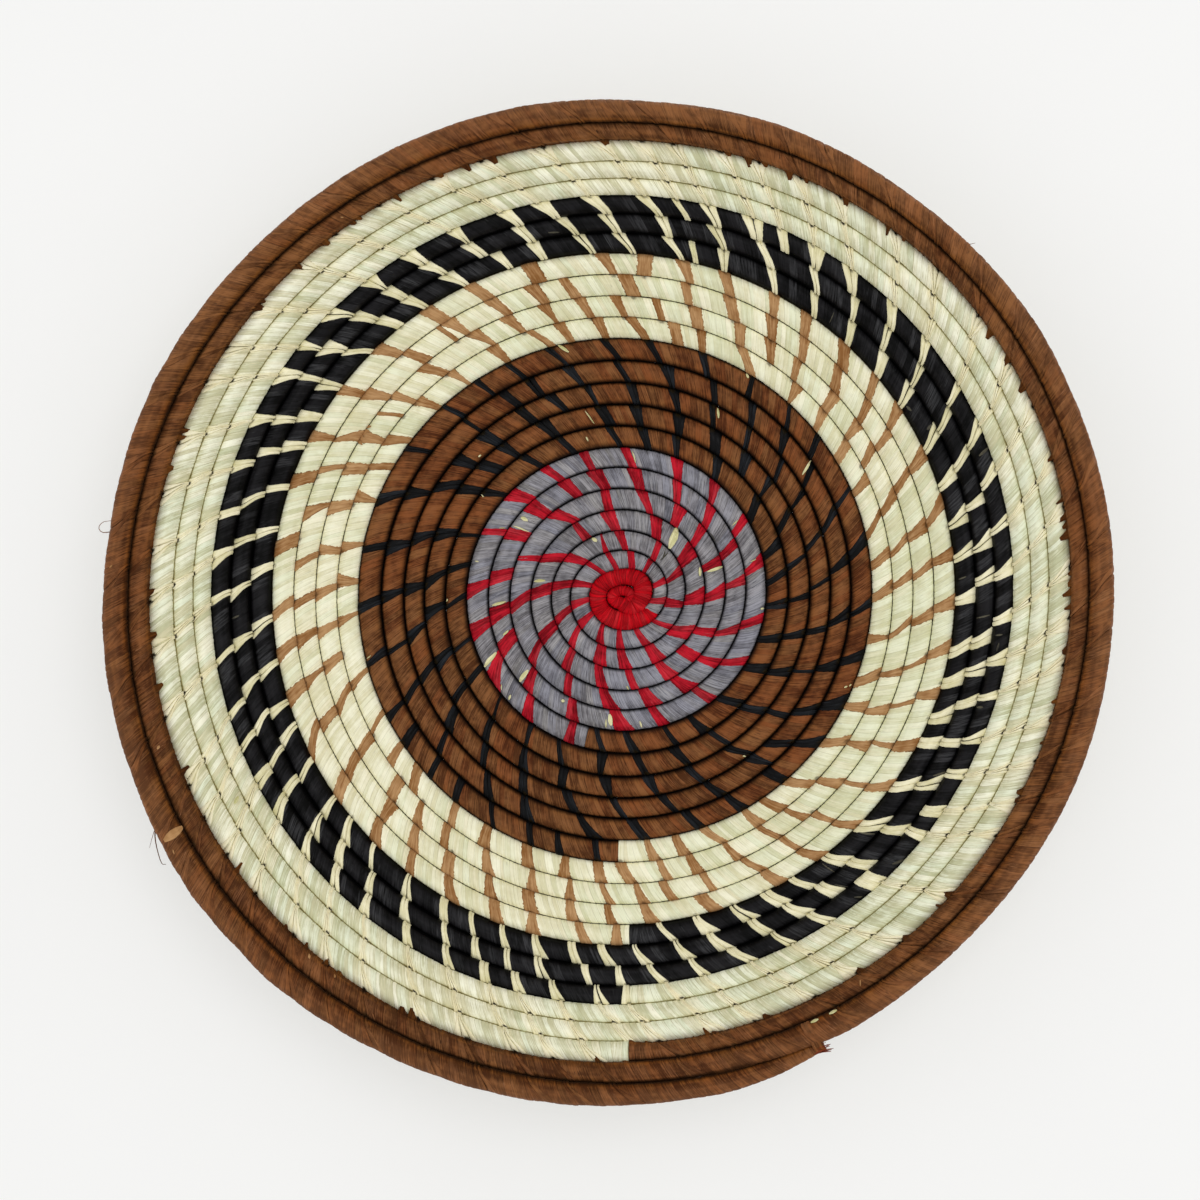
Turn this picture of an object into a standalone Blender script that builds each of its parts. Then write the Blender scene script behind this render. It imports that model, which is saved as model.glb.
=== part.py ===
"""Raffia bread basket: a shallow bowl made of one long coil.

A bundle of grass stems runs in one spiral from the knot in the middle to the end of the rim.
Raffia in seven lengths of colour is wrapped round the bundle, and each row lies against the row
of one turn before it. The basket stands on its first rows, where the coil is flat.
"""

import bisect
import math

import bmesh
import bpy
import numpy as np

# Driving values: metres, degrees and turns of the coil

STATIONS_PER_TURN = 24
START_ANGLE = 297.5  # seen from above, counter-clockwise from +X

WRAP_THICKNESS = 0.00100  # raffia on each side of the bundle, two or three layers
BUNDLE_CLEARANCE = 0.00030  # between the bundle and the raffia round it
ROW_GAP = 0.00046  # between a row and the next one
BAND_GAP = 0.00030  # between two lengths of raffia, end to end
REST_CUT_SHARE = 0.10  # of the first rows' thickness, worn flat where the basket stands

START_RADIUS = 0.00280  # from the middle of the knot to the middle of the coil's first stems
START_THICKNESS = 0.00380  # the coil's thin beginning
START_TURNS = 0.45  # it reaches its full thickness over this much of a turn
TAIL_THICKNESS = 0.00160  # the coil's thin end, on the rim
TAIL_TURNS = 0.18  # it thins out over this much of a turn
CORE_SHORT_OF_ENDS = 0.26  # turns by which the bundle stops short of both thin ends
BLEND_TURNS = 0.50  # a change of bundle thickness is spread over this much of a turn

KNOT_TURNS = 1.104
GREY_TURNS = 5.784
INNER_BROWN_TURNS = 5.036
INNER_CREAM_TURNS = 4.006
BLACK_TURNS = 3.000
OUTER_CREAM_TURNS = 3.000
RIM_TURNS = 2.070

KNOT_BUNDLE = 0.00314  # thickness of the bundle of stems inside each length of raffia
GREY_BUNDLE = 0.00314
INNER_BROWN_BUNDLE = 0.00364
INNER_CREAM_BUNDLE = 0.00346
BLACK_BUNDLE = 0.00350
OUTER_CREAM_BUNDLE = 0.00330
RIM_BUNDLE = 0.00368
RIM_LAST_BUNDLE = 0.00420  # the rim's outermost row is the thickest one

INNER_BROWN_LEAN = 10.0  # slope of the wall at the outer end of each length
INNER_CREAM_LEAN = 22.0
BLACK_LEAN = 34.0
OUTER_CREAM_LEAN = 38.5
RIM_LEAN = 30.0

HEXAGON_FLAT = math.cos(math.radians(30))  # half width of a hexagon across its flats
SQUARE_FLAT = math.cos(math.radians(45))  # and of a square, as shares of the corner radius
CUT_DEPTH = 0.010  # how far the resting cut's block reaches down


def srgb(red, green, blue):
    """A colour given in the usual 0 to 255, as the linear values that Blender's shaders take."""

    def linear(value):
        share = value / 255
        return share / 12.92 if share <= 0.04045 else ((share + 0.055) / 1.055) ** 2.4

    return (linear(red), linear(green), linear(blue), 1.0)


# Each length of raffia: node name, turns, bundle thickness, wall slope at its outer end, colour

BANDS = (
    ("centre_knot", KNOT_TURNS, KNOT_BUNDLE, 0.0, srgb(176, 20, 38)),
    ("grey_wrap", GREY_TURNS, GREY_BUNDLE, 0.0, srgb(132, 136, 146)),
    ("inner_brown_wrap", INNER_BROWN_TURNS, INNER_BROWN_BUNDLE, INNER_BROWN_LEAN, srgb(112, 66, 40)),
    ("inner_cream_wrap", INNER_CREAM_TURNS, INNER_CREAM_BUNDLE, INNER_CREAM_LEAN, srgb(226, 223, 192)),
    ("black_wrap", BLACK_TURNS, BLACK_BUNDLE, BLACK_LEAN, srgb(24, 24, 29)),
    ("outer_cream_wrap", OUTER_CREAM_TURNS, OUTER_CREAM_BUNDLE, OUTER_CREAM_LEAN, srgb(218, 220, 190)),
    ("rim_wrap", RIM_TURNS, RIM_BUNDLE, RIM_LEAN, srgb(106, 60, 36)),
)
STEMS_COLOUR = srgb(172, 146, 96)
RAFFIA_ROUGHNESS = 0.62
STEMS_ROUGHNESS = 0.80

BAND_ENDS = [sum(band[1] for band in BANDS[: i + 1]) for i in range(len(BANDS))]
TURNS = BAND_ENDS[-1]


def eased(share):
    """0 before 0, 1 after 1, and a smooth step between."""
    share = min(max(share, 0.0), 1.0)
    return share * share * (3 - 2 * share)


def bundle_radius(turn):
    """Radius of the bundle at a place on the coil, blended where one length follows another."""
    thickness = BANDS[0][2]
    for end, band in zip(BAND_ENDS, BANDS[1:]):
        thickness += (band[2] - thickness) * eased((turn - end) / BLEND_TURNS + 0.5)
    last_row = TURNS - 1.0
    thickness += (RIM_LAST_BUNDLE - thickness) * eased((turn - last_row) / BLEND_TURNS + 0.5)
    return thickness / 2


def row_radius(turn):
    """Radius of the wrapped coil, which is thin at its start and at its end."""
    full = bundle_radius(turn) + BUNDLE_CLEARANCE + WRAP_THICKNESS
    start = START_THICKNESS / 2
    tail = TAIL_THICKNESS / 2
    radius = start + (full - start) * eased(turn / START_TURNS)
    return tail + (radius - tail) * eased((TURNS - turn) / TAIL_TURNS)


def lean(turn):
    """Slope of the wall in radians: it changes steadily along each length."""
    low_turn = low = 0.0
    for end, band in zip(BAND_ENDS, BANDS):
        if turn <= end:
            return math.radians(low + (band[3] - low) * (turn - low_turn) / (end - low_turn))
        low_turn, low = end, band[3]
    return math.radians(low)


def skew(step, out):
    """The angle at which a straight stretch of a row crosses the line from one row to the next."""
    drift = math.atan(step / (2 * math.pi * (out + step / 2)))
    return drift + math.pi / STATIONS_PER_TURN


def lay_the_coil():
    """One station for each 24th of a turn: [turn, angle, distance out, height, radius, lean].

    A row lies against the row one turn before it, up the slope of the wall. A thicker row moves
    up by its extra radius, so that the undersides stay in line.
    """
    count = math.ceil(TURNS * STATIONS_PER_TURN - 1e-6)
    turns = [min(k / STATIONS_PER_TURN, TURNS) for k in range(count + 1)]
    radii = [row_radius(turn) for turn in turns]
    full = row_radius(1.0)
    cut = REST_CUT_SHARE * 2 * full
    first_step = radii[0] + ROW_GAP + full
    stations = []
    for k, (turn, radius) in enumerate(zip(turns, radii)):
        angle = math.radians(START_ANGLE) + 2 * math.pi * turn
        slope = lean(turn)
        if k < STATIONS_PER_TURN:
            out = START_RADIUS + first_step * turn ** 0.85
            height = radius * HEXAGON_FLAT - cut
        else:
            before = stations[k - STATIONS_PER_TURN]
            step = before[4] + ROW_GAP + radius
            step /= math.cos(skew(step, before[2]))
            thicker = (radius - before[4]) * HEXAGON_FLAT
            out = before[2] + step * math.cos(slope) - thicker * math.sin(slope)
            height = before[3] + step * math.sin(slope) + thicker * math.cos(slope)
        stations.append((turn, angle, out, height, radius, slope))
    return stations


COIL = lay_the_coil()
COIL_TURNS = [station[0] for station in COIL]


def middle_of_outline():
    """The middle of the basket's outline, seen from above, measured from the coil's axis."""
    edge = [
        ((out + radius) * math.cos(angle), (out + radius) * math.sin(angle))
        for turn, angle, out, height, radius, slope in COIL[-STATIONS_PER_TURN - 1 :]
    ]
    xs, ys = [x for x, y in edge], [y for x, y in edge]
    return (min(xs) + max(xs)) / 2, (min(ys) + max(ys)) / 2


AXIS_X, AXIS_Y = (-value for value in middle_of_outline())


def place(station):
    """A station's point: the origin is the middle of the outline, on the plane it stands on."""
    turn, angle, out, height, radius, slope = station
    return (AXIS_X + out * math.cos(angle), AXIS_Y + out * math.sin(angle), height)


def at_turn(turn):
    """(point, radius, lean) at any turn, on the straight line between the two stations there."""
    k = min(max(bisect.bisect_right(COIL_TURNS, turn), 1), len(COIL) - 1)
    low, high = COIL[k - 1], COIL[k]
    share = (turn - low[0]) / (high[0] - low[0])
    point = [a + (b - a) * share for a, b in zip(place(low), place(high))]
    return point, low[4] + (high[4] - low[4]) * share, low[5] + (high[5] - low[5]) * share


def turns_between(start, end):
    """The turns of a stretch of coil: its two ends and every station well inside it."""
    margin = 0.1 / STATIONS_PER_TURN
    inner = [turn for turn in COIL_TURNS if start + margin < turn < end - margin]
    return [start, *inner, end]


def circumference(turn):
    return 2 * math.pi * COIL[min(bisect.bisect_left(COIL_TURNS, turn), len(COIL) - 1)][2]


def clear_scene():
    for obj in list(bpy.data.objects):
        bpy.data.objects.remove(obj)


def new_collection(name):
    collection = bpy.data.collections.new(name)
    bpy.context.scene.collection.children.link(collection)
    return collection


def make_material(name, colour, roughness):
    material = bpy.data.materials.new(name)
    material.use_nodes = True
    shader = material.node_tree.nodes["Principled BSDF"]
    shader.inputs["Base Color"].default_value = colour
    shader.inputs["Roughness"].default_value = roughness
    shader.inputs["Metallic"].default_value = 0.0
    material.diffuse_color = colour
    return material


def coil_tube(name, turns, radius_at, square, collection):
    """A tube along the coil, six-sided or square, whose flats follow the slope of the wall."""
    curve = bpy.data.curves.new(name, "CURVE")
    curve.dimensions = "3D"
    curve.twist_mode = "Z_UP"
    curve.bevel_mode = "ROUND"
    curve.bevel_depth = 1.0
    curve.bevel_resolution = 0 if square else 1
    curve.use_fill_caps = True
    spline = curve.splines.new("POLY")
    spline.points.add(len(turns) - 1)
    for point, turn in zip(spline.points, turns):
        place_at, radius, slope = at_turn(turn)
        point.co = (*place_at, 1.0)
        point.radius = radius_at(turn, radius)
        point.tilt = (math.radians(45) if square else 0.0) - slope
    obj = bpy.data.objects.new(name, curve)
    collection.objects.link(obj)
    return obj


def as_mesh(curve_object, collection):
    """The curve's tube as one closed mesh, its caps welded to its sides."""
    bpy.context.view_layer.update()
    name = curve_object.name
    graph = bpy.context.evaluated_depsgraph_get()
    mesh = bpy.data.meshes.new_from_object(curve_object.evaluated_get(graph))
    place_of_curve = curve_object.matrix_world.copy()
    bpy.data.objects.remove(curve_object)
    shape = bmesh.new()
    shape.from_mesh(mesh)
    bmesh.ops.remove_doubles(shape, verts=shape.verts, dist=1e-6)
    bmesh.ops.recalc_face_normals(shape, faces=shape.faces)
    shape.to_mesh(mesh)
    shape.free()
    mesh.name = name
    obj = bpy.data.objects.new(name, mesh)
    obj.matrix_world = place_of_curve
    collection.objects.link(obj)
    return obj


def hide_cutter(obj):
    obj.hide_render = True
    obj.display_type = "WIRE"


def cut(obj, cutter, title):
    """Takes the cutter out of the object."""
    modifier = obj.modifiers.new(title, "BOOLEAN")
    modifier.operation = "DIFFERENCE"
    modifier.solver = "EXACT"
    modifier.object = cutter


def core_radius(turn, radius):
    """The bundle fills the raffia round it, less the clearance."""
    return radius - WRAP_THICKNESS - BUNDLE_CLEARANCE


def bore_radius(turn, radius):
    """The square bore stands clear of the square bundle by the same amount on all four sides."""
    return core_radius(turn, radius) + BUNDLE_CLEARANCE / SQUARE_FLAT


def core_span():
    return CORE_SHORT_OF_ENDS, TURNS - CORE_SHORT_OF_ENDS


def make_wrap(band, start, end, parts, cutters):
    """One length of raffia, wound in a sleeve round the bundle, open where the coil goes on."""
    name = band[0]
    first, last = start == 0.0, end == TURNS
    gap_at_start = 0.0 if first else BAND_GAP / 2 / circumference(start)
    gap_at_end = 0.0 if last else BAND_GAP / 2 / circumference(end)
    turns = turns_between(start + gap_at_start, end - gap_at_end)
    wrap = as_mesh(coil_tube(name, turns, lambda turn, radius: radius, False, parts), parts)

    beyond = 0.25 / STATIONS_PER_TURN
    core_start, core_end = core_span()
    bore_start = core_start - BUNDLE_CLEARANCE / circumference(core_start) if first else start - beyond
    bore_end = core_end + BUNDLE_CLEARANCE / circumference(core_end) if last else end + beyond
    bore_turns = turns_between(bore_start, bore_end)
    bore = as_mesh(coil_tube(name + "_bore", bore_turns, bore_radius, True, cutters), cutters)
    hide_cutter(bore)
    cut(wrap, bore, "bore")
    return wrap


def lowest_point(obj):
    return min(vertex.co.z for vertex in obj.data.vertices)


def make_resting_plane(cutters):
    """A block whose top is the plane that the basket stands on."""
    mesh = bpy.data.meshes.new("resting_plane")
    shape = bmesh.new()
    bmesh.ops.create_cube(shape, size=1.0)
    side = 2.4 * max(station[2] for station in COIL)
    bmesh.ops.scale(shape, vec=(side, side, CUT_DEPTH), verts=shape.verts)
    bmesh.ops.translate(shape, vec=(0.0, 0.0, -CUT_DEPTH / 2), verts=shape.verts)
    shape.to_mesh(mesh)
    shape.free()
    block = bpy.data.objects.new("resting_plane", mesh)
    cutters.objects.link(block)
    hide_cutter(block)
    return block


def make_core(parts):
    """The bundle of grass stems, unbroken from the knot to the rim."""
    turns = turns_between(*core_span())
    return as_mesh(coil_tube("grass_core", turns, core_radius, True, parts), parts)


def least_gap():
    """Least distance between the coil and itself, less its thickness, measured on its points.

    Points are the stations and the middles between them. Stretches less than half a turn apart
    on the coil are neighbours along it and don't count.
    """
    points = np.array([place(station) for station in COIL])
    radii = np.array([station[4] for station in COIL])
    places = np.arange(len(COIL), dtype=float)
    tested = np.concatenate([points, (points[1:] + points[:-1]) / 2])
    tested_radii = np.concatenate([radii, (radii[1:] + radii[:-1]) / 2])
    tested_places = np.concatenate([places, places[:-1] + 0.5])
    starts, runs = points[:-1], points[1:] - points[:-1]
    lengths = (runs * runs).sum(axis=1)
    least = math.inf
    for point, radius, index in zip(tested, tested_radii, tested_places):
        share = np.clip(((point - starts) * runs).sum(axis=1) / lengths, 0.0, 1.0)
        nearest = starts + runs * share[:, None]
        thickness = radii[:-1] + (radii[1:] - radii[:-1]) * share + radius
        gap = np.linalg.norm(point - nearest, axis=1) - thickness
        apart = np.abs(places[:-1] + share - index) > STATIONS_PER_TURN / 2
        least = min(least, gap[apart].min())
    return least


def main():
    clear_scene()
    parts = new_collection("raffia_bread_basket")
    cutters = new_collection("cutters")
    resting_plane = make_resting_plane(cutters)

    start = 0.0
    for band, end in zip(BANDS, BAND_ENDS):
        wrap = make_wrap(band, start, end, parts, cutters)
        wrap.data.materials.append(make_material(band[0], band[4], RAFFIA_ROUGHNESS))
        if lowest_point(wrap) < 0:
            cut(wrap, resting_plane, "worn flat")
        start = end

    core = make_core(parts)
    core.data.materials.append(make_material("grass_core", STEMS_COLOUR, STEMS_ROUGHNESS))

    points = np.array([place(station) for station in COIL])
    length = np.linalg.norm(points[1:] - points[:-1], axis=1).sum()
    print(f"least gap of the coil to itself: {least_gap() * 1000:.2f} mm")
    print(f"the coil is {length:.2f} m long, in {TURNS:.2f} turns")


main()
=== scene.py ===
# %% [markdown]
# # A raffia bread basket, coiled and stitched
# The real basket is one long bundle of grass stems, wrapped in strips of raffia and laid round
# and round in 24 rows. Each row is tied to the row before it by stitches of another colour.
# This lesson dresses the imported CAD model: it starts by loading that model, and every piece
# below is made in the same frame, in metres, so nothing has to be fitted afterwards.

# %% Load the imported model
import math

import bmesh
import bpy
import numpy as np
from mathutils import Matrix


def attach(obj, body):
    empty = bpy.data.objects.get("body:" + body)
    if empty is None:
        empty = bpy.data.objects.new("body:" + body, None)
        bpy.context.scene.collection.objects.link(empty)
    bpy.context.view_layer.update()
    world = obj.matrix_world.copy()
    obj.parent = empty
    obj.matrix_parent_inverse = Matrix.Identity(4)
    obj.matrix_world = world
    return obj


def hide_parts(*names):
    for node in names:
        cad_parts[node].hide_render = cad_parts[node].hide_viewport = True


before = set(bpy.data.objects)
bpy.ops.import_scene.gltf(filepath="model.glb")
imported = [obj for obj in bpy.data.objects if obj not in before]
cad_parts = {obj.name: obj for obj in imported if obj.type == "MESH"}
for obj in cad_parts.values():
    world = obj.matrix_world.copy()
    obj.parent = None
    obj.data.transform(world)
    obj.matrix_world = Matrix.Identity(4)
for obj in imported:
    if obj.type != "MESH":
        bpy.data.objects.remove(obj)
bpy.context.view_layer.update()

print("packed nodes:", len(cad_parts))

# %% [markdown]
# ## The camera
# The photograph looks almost straight down. The camera could be placed by eye, but the row
# boundaries in the photograph give its place and its lens, so those values are used here.

# %% Camera
scene = bpy.context.scene


def link(name, data):
    """An object in the scene that shows the data."""
    made = bpy.data.objects.new(name, data)
    scene.collection.objects.link(made)
    return made


camera_data = bpy.data.cameras.new("photo_camera")
camera_data.sensor_width = 36.0
camera_data.lens = 102.15
camera = link("photo_camera", camera_data)
camera.location = (0.07715, 0.04007, 1.05)
camera.rotation_euler = (-0.03931, 0.07782, 0.0)
scene.camera = camera
scene.view_settings.view_transform = "Standard"
print("camera height:", camera.location.z, "m")

# %% [markdown]
# ## The laws of the coil
# The basket is a spiral, and each row lies against the row one turn before it, up the slope of
# the wall. A drawn spiral would leave gaps, so the row's place is worked out from the row it
# lies against, by the same laws as the CAD model: 24 stations for each turn.

# %% Sizes of the coil
STATIONS_PER_TURN = 24
START_ANGLE = math.radians(297.5)  # where the coil starts, counter-clockwise from +X
WRAP_THICKNESS = 0.00100
BUNDLE_CLEARANCE = 0.00030
ROW_GAP = 0.00046
REST_CUT_SHARE = 0.10
START_RADIUS, START_THICKNESS, START_TURNS = 0.00280, 0.00380, 0.45
TAIL_THICKNESS, TAIL_TURNS = 0.00220, 0.075  # shorter than in the CAD model, as in the photograph
CORE_SHORT_OF_ENDS = 0.26
BLEND_TURNS = 0.50
RIM_LAST_BUNDLE = 0.00420
FIRST_ROW_POWER = 0.85  # the first row leaves the middle fast and then settles
END_BOUND_IN = 0.0007  # the thin end is bound against the row inside it
HUNDREDTH = 1e-5  # of a millimetre, in metres
HEXAGON_FLAT = math.cos(math.radians(30))

# node name: turns, thickness of the bundle inside, slope of the wall at the outer end
LENGTHS = {
    "centre_knot": (1.104, 0.00314, 0.0),
    "grey_wrap": (5.784, 0.00314, 0.0),
    "inner_brown_wrap": (5.036, 0.00364, 10.0),
    "inner_cream_wrap": (4.006, 0.00346, 22.0),
    "black_wrap": (3.000, 0.00350, 34.0),
    "outer_cream_wrap": (3.000, 0.00330, 38.5),
    "rim_wrap": (2.064, 0.00368, 30.0),
}
ROWS, BUNDLES, SLOPES = zip(*LENGTHS.values())
ENDS = np.cumsum(ROWS)
STARTS = ENDS - ROWS
TURNS = ENDS[-1]
SPAN = {name: (first, last) for name, first, last in zip(LENGTHS, STARTS, ENDS)}
print("turns of the coil:", round(TURNS, 3))


# %% The row's thickness
def eased(share):
    """0 before 0, 1 after 1, and a smooth step between."""
    share = np.clip(share, 0.0, 1.0)
    return share * share * (3 - 2 * share)


def bundle_radius(turn):
    """Radius of the bundle of stems, blended where one length of raffia follows another."""
    thickness = BUNDLES[0]
    for end, new in [*zip(ENDS, BUNDLES[1:]), (TURNS - 1.0, RIM_LAST_BUNDLE)]:
        thickness += (new - thickness) * eased((turn - end) / BLEND_TURNS + 0.5)
    return thickness / 2


def row_radius(turn):
    """Radius of the wrapped row, which is thin at the coil's start and at its end."""
    full = bundle_radius(turn) + BUNDLE_CLEARANCE + WRAP_THICKNESS
    start, tail = START_THICKNESS / 2, TAIL_THICKNESS / 2
    radius = start + (full - start) * eased(turn / START_TURNS)
    return tail + (radius - tail) * np.sqrt(np.clip((TURNS - turn) / TAIL_TURNS, 0.0, 1.0))


print("row thickness at turn 10:", round(2000 * row_radius(10.0), 2), "mm")


# %% Lay the coil
def skew(step, out):
    """The angle at which a straight stretch of a row crosses the line to the next row."""
    return np.arctan(step / (math.tau * (out + step / 2))) + math.pi / STATIONS_PER_TURN


def lay_the_coil():
    """A row of numbers for each station: turn, distance out, height, radius, slope."""
    leans = np.radians([0.0, *SLOPES])
    full = row_radius(1.0)
    cut = REST_CUT_SHARE * 2 * full
    first_step = row_radius(0.0) + ROW_GAP + full
    stations = []
    for k in range(round(TURNS * STATIONS_PER_TURN) + 1):
        turn = k / STATIONS_PER_TURN
        radius = row_radius(turn)
        slope = np.interp(turn, np.append(0.0, ENDS), leans)
        if k < STATIONS_PER_TURN:
            out = START_RADIUS + first_step * turn**FIRST_ROW_POWER
            height = radius * HEXAGON_FLAT - cut
        else:
            _, old_out, old_height, old_radius, _ = stations[k - STATIONS_PER_TURN]
            straight = old_radius + ROW_GAP + radius
            step = straight / math.cos(skew(straight, old_out))
            thicker = (radius - old_radius) * HEXAGON_FLAT
            out = old_out + step * math.cos(slope) - thicker * math.sin(slope)
            height = old_height + step * math.sin(slope) + thicker * math.cos(slope)
        stations.append((turn, out, height, radius, slope))
    return np.array(stations)


TURN, OUT, HEIGHT, RADIUS, SLOPE = range(5)  # the columns of COIL
COIL = lay_the_coil()
COIL[-1, OUT] -= END_BOUND_IN
AXIS = (0.0013837, 0.0000955)  # the coil's axis: the origin is the middle of the outline
mean_out = (COIL[1:, OUT] + COIL[:-1, OUT]) / 2
run = np.hypot(np.diff(COIL[:, OUT]), np.diff(COIL[:, TURN]) * math.tau * mean_out)
LAID = np.append(0.0, np.cumsum(run))  # length of coil laid by each station


def coil_at(turn, *columns):
    """The coil's numbers at a turn, one array for each column."""
    return [np.interp(turn, COIL[:, TURN], COIL[:, column]) for column in columns]


def bearing(turn):
    """The direction from the axis at a turn, counter-clockwise from +X."""
    return START_ANGLE + math.tau * turn


def from_axis(out, angle, height):
    """Points at a distance and a direction from the coil's axis."""
    return np.stack([AXIS[0] + out * np.cos(angle), AXIS[1] + out * np.sin(angle), height], -1)


print("coil:", round(LAID[-1], 2), "m; axis at", [round(1000 * value, 3) for value in AXIS], "mm")

# %% [markdown]
# ## Made by hand
# A perfect spiral looks turned on a machine. In the photograph the rows drift in and out by up
# to 2 mm, pulled by the maker's hand. A measuring program fitted the drift to the rows' edges
# on the photograph, at 16 distances from the middle, as an even part and three waves round the
# basket. It moves every piece alike, so pieces that touch still touch.

# %% Hand drift
DRIFT_AT = 0.001 * np.array([
    8, 14, 22, 30, 38, 47, 58, 70, 80, 92, 104.5, 113, 121.5, 130, 137, 150,
])
DRIFT = HUNDREDTH * np.array([
    # even, cos a, sin a, cos 2a, sin 2a, cos 3a, sin 3a
    (38, 187, 32, 102, 54, 23, 28), (-30, 122, 7, 51, 28, 0, 16), (-71, 125, 3, 37, 26, -5, 12),
    (-57, 115, -5, 25, 41, -2, 10), (-44, 98, 28, 32, 27, 2, 5), (-10, 71, -2, 41, 8, -9, 8),
    (-6, 67, -51, 22, 15, 2, 11), (-65, 74, -15, 4, 18, -4, 4), (-30, 19, -11, 9, 11, -6, 9),
    (-27, -6, -20, -5, -5, 5, 0), (-2, -30, 37, 21, -2, 19, 11), (11, -38, 41, 23, 31, 6, 27),
    (-8, -25, 48, 23, 61, -10, 41), (-40, -14, 39, 34, 67, 1, 50), (-15, -9, 10, 72, 73, -23, 26),
    (88, -64, -38, 143, 100, 7, -36),
])
# the last row is free on its outer side, so its edge wanders more, as measured in the same way:
# turn, then hundredths of a millimetre
RIM_EDGE = np.array([
    (22.98, 0), (22.99, 40), (23.007, 60), (23.021, -10), (23.035, -65), (23.062, -100),
    (23.09, -80), (23.118, -62), (23.16, -105), (23.201, -90), (23.243, -95), (23.264, -32),
    (23.285, -65), (23.319, -115), (23.368, -48), (23.41, -145), (23.451, -58), (23.507, -65),
    (23.549, -90), (23.604, -24), (23.653, -132), (23.687, -100), (23.736, -135), (23.771, -50),
    (23.792, -95), (23.806, -48), (23.847, -110), (23.896, -76), (23.924, -70), (23.938, -33),
    (23.951, -11), (23.965, 66), (23.979, 70), (23.993, 0),
])


def hand_drift(out, angle):
    """How far the maker's hand pulled the coil outwards at each place."""
    waves = [np.ones_like(angle)]
    for count in (1, 2, 3):
        waves += [np.cos(count * angle), np.sin(count * angle)]
    return sum(np.interp(out, DRIFT_AT, column) * wave for column, wave in zip(DRIFT.T, waves))


print("drift:", round(1000 * np.abs(DRIFT).sum(axis=1).max(), 1), "mm at most")

# %% [markdown]
# ## The skin of a row
# Wraps, stitches and loose fibres all lie on the rows, so one helper gives a point on a row's
# skin. Its arguments are the turn along the coil, the angle round the row (0 where it touches
# the row inside it, a quarter turn on top, half a turn where it touches the row outside it),
# and a lift off the skin. A row is pressed between its neighbours, so its section is nearer a
# rounded square than a circle: a superellipse, with its crown a little towards the outside.

# %% Point on a row
SQUARENESS = {  # power of the superellipse: 2 is an ellipse, more is squarer
    "centre_knot": 2.1, "grey_wrap": 2.4, "inner_brown_wrap": 2.25, "inner_cream_wrap": 2.45,
    "black_wrap": 2.1, "outer_cream_wrap": 2.2, "rim_wrap": 2.1,
}
square_turns = np.sort(np.concatenate([STARTS + 0.02, ENDS - 0.02]))
square_powers = np.repeat(list(SQUARENESS.values()), 2)
ROW_HEIGHT_SHARE = 0.96
RIM_START = SPAN["rim_wrap"][0]
RIM_SETTLED = 0.0008  # the rim's first row is flatter on the side that looks over the pale row
FLAT_FLOOR = 0.0004  # how much of what lies on the skin is worn away under the basket
CROWN_TILT = 0.12
ACROSS_LIMITS = (-1.1, 1.25)  # past the grooves, a place across the row is cut off here
STEEPEST = 0.97  # the sides of a row are as good as upright past this share of its half width


def squarer(value, power):
    """A sine or cosine bent towards a squarer section."""
    return np.sign(value) * np.abs(value) ** power


def across(turn, around):
    """Place across the row as seen from above: -1 at the inner groove, 1 at the outer one."""
    (slope,) = coil_at(turn, SLOPE)
    power = 2 / np.interp(turn, square_turns, square_powers)
    side, up = -squarer(np.cos(around), power), squarer(np.sin(around), power)
    seen = side * np.cos(slope) - up * np.sin(slope)
    return np.clip((seen + 1) / np.cos(slope) - 1, *ACROSS_LIMITS)


def around_at(turn, side):
    """The angle round the row of a place across it, the other way round."""
    (slope,) = coil_at(turn, SLOPE)
    return slope + np.arccos(np.clip(1 - (side + 1) * np.cos(slope), -STEEPEST, STEEPEST))


def on_row(turn, around, lift=0.0):
    """Points on the skin of the row."""
    turn, around = np.broadcast_arrays(turn, around)
    out, height, radius, slope = coil_at(turn, OUT, HEIGHT, RADIUS, SLOPE)
    angle = bearing(turn)
    power = 2 / np.interp(turn, square_turns, square_powers)
    c, s = np.cos(around), np.sin(around)
    rim_in, rim_out = eased((turn - RIM_START) / 0.01), eased((RIM_START + 1.0 - turn) / 0.05)
    inner_quarter = eased(around / 0.3) * eased((math.pi / 2 - around) / 0.6)
    lift = lift - RIM_SETTLED * rim_in * rim_out * inner_quarter
    wide = (radius + ROW_GAP / 2) / np.cos(skew(2 * radius, out))
    high = radius * ROW_HEIGHT_SHARE
    side, up = -squarer(c, power) * wide, squarer(s, power) * high
    side_way, up_way = -squarer(c, 2 - power) / wide, squarer(s, 2 - power) / high
    edge = HUNDREDTH * np.interp(turn, *RIM_EDGE.T) * (side / wide + 1) / 2
    length = np.hypot(side_way, up_way)
    side = side + lift * side_way / length
    up = up + lift * up_way / length
    up = up + CROWN_TILT * side * np.clip(up / high, 0.0, 1.0)
    out = out + edge + side * np.cos(slope) - up * np.sin(slope)
    # worn flat where the basket stands, with what lies on the skin still outside it
    floor = np.maximum(FLAT_FLOOR - lift, 0.0)
    height = np.maximum(height + side * np.sin(slope) + up * np.cos(slope), floor)
    return from_axis(out + hand_drift(out, angle), angle, height)


def under_rim(turn):
    """Where the row is the pale one that the rim lies against."""
    return (turn > RIM_START - 1.0) & (turn < RIM_START)


def pressed(turn, around):
    """1 where a neighbouring row presses on the skin, 0 where the skin is free."""
    inner_side = eased((turn - 1.0) / 0.1) * (np.cos(around) > 0)
    outer_side = eased((TURNS - 1.0 - turn) / 0.05) * (np.cos(around) <= 0)
    return inner_side + np.where(under_rim(turn), 0.0, outer_side)


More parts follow.
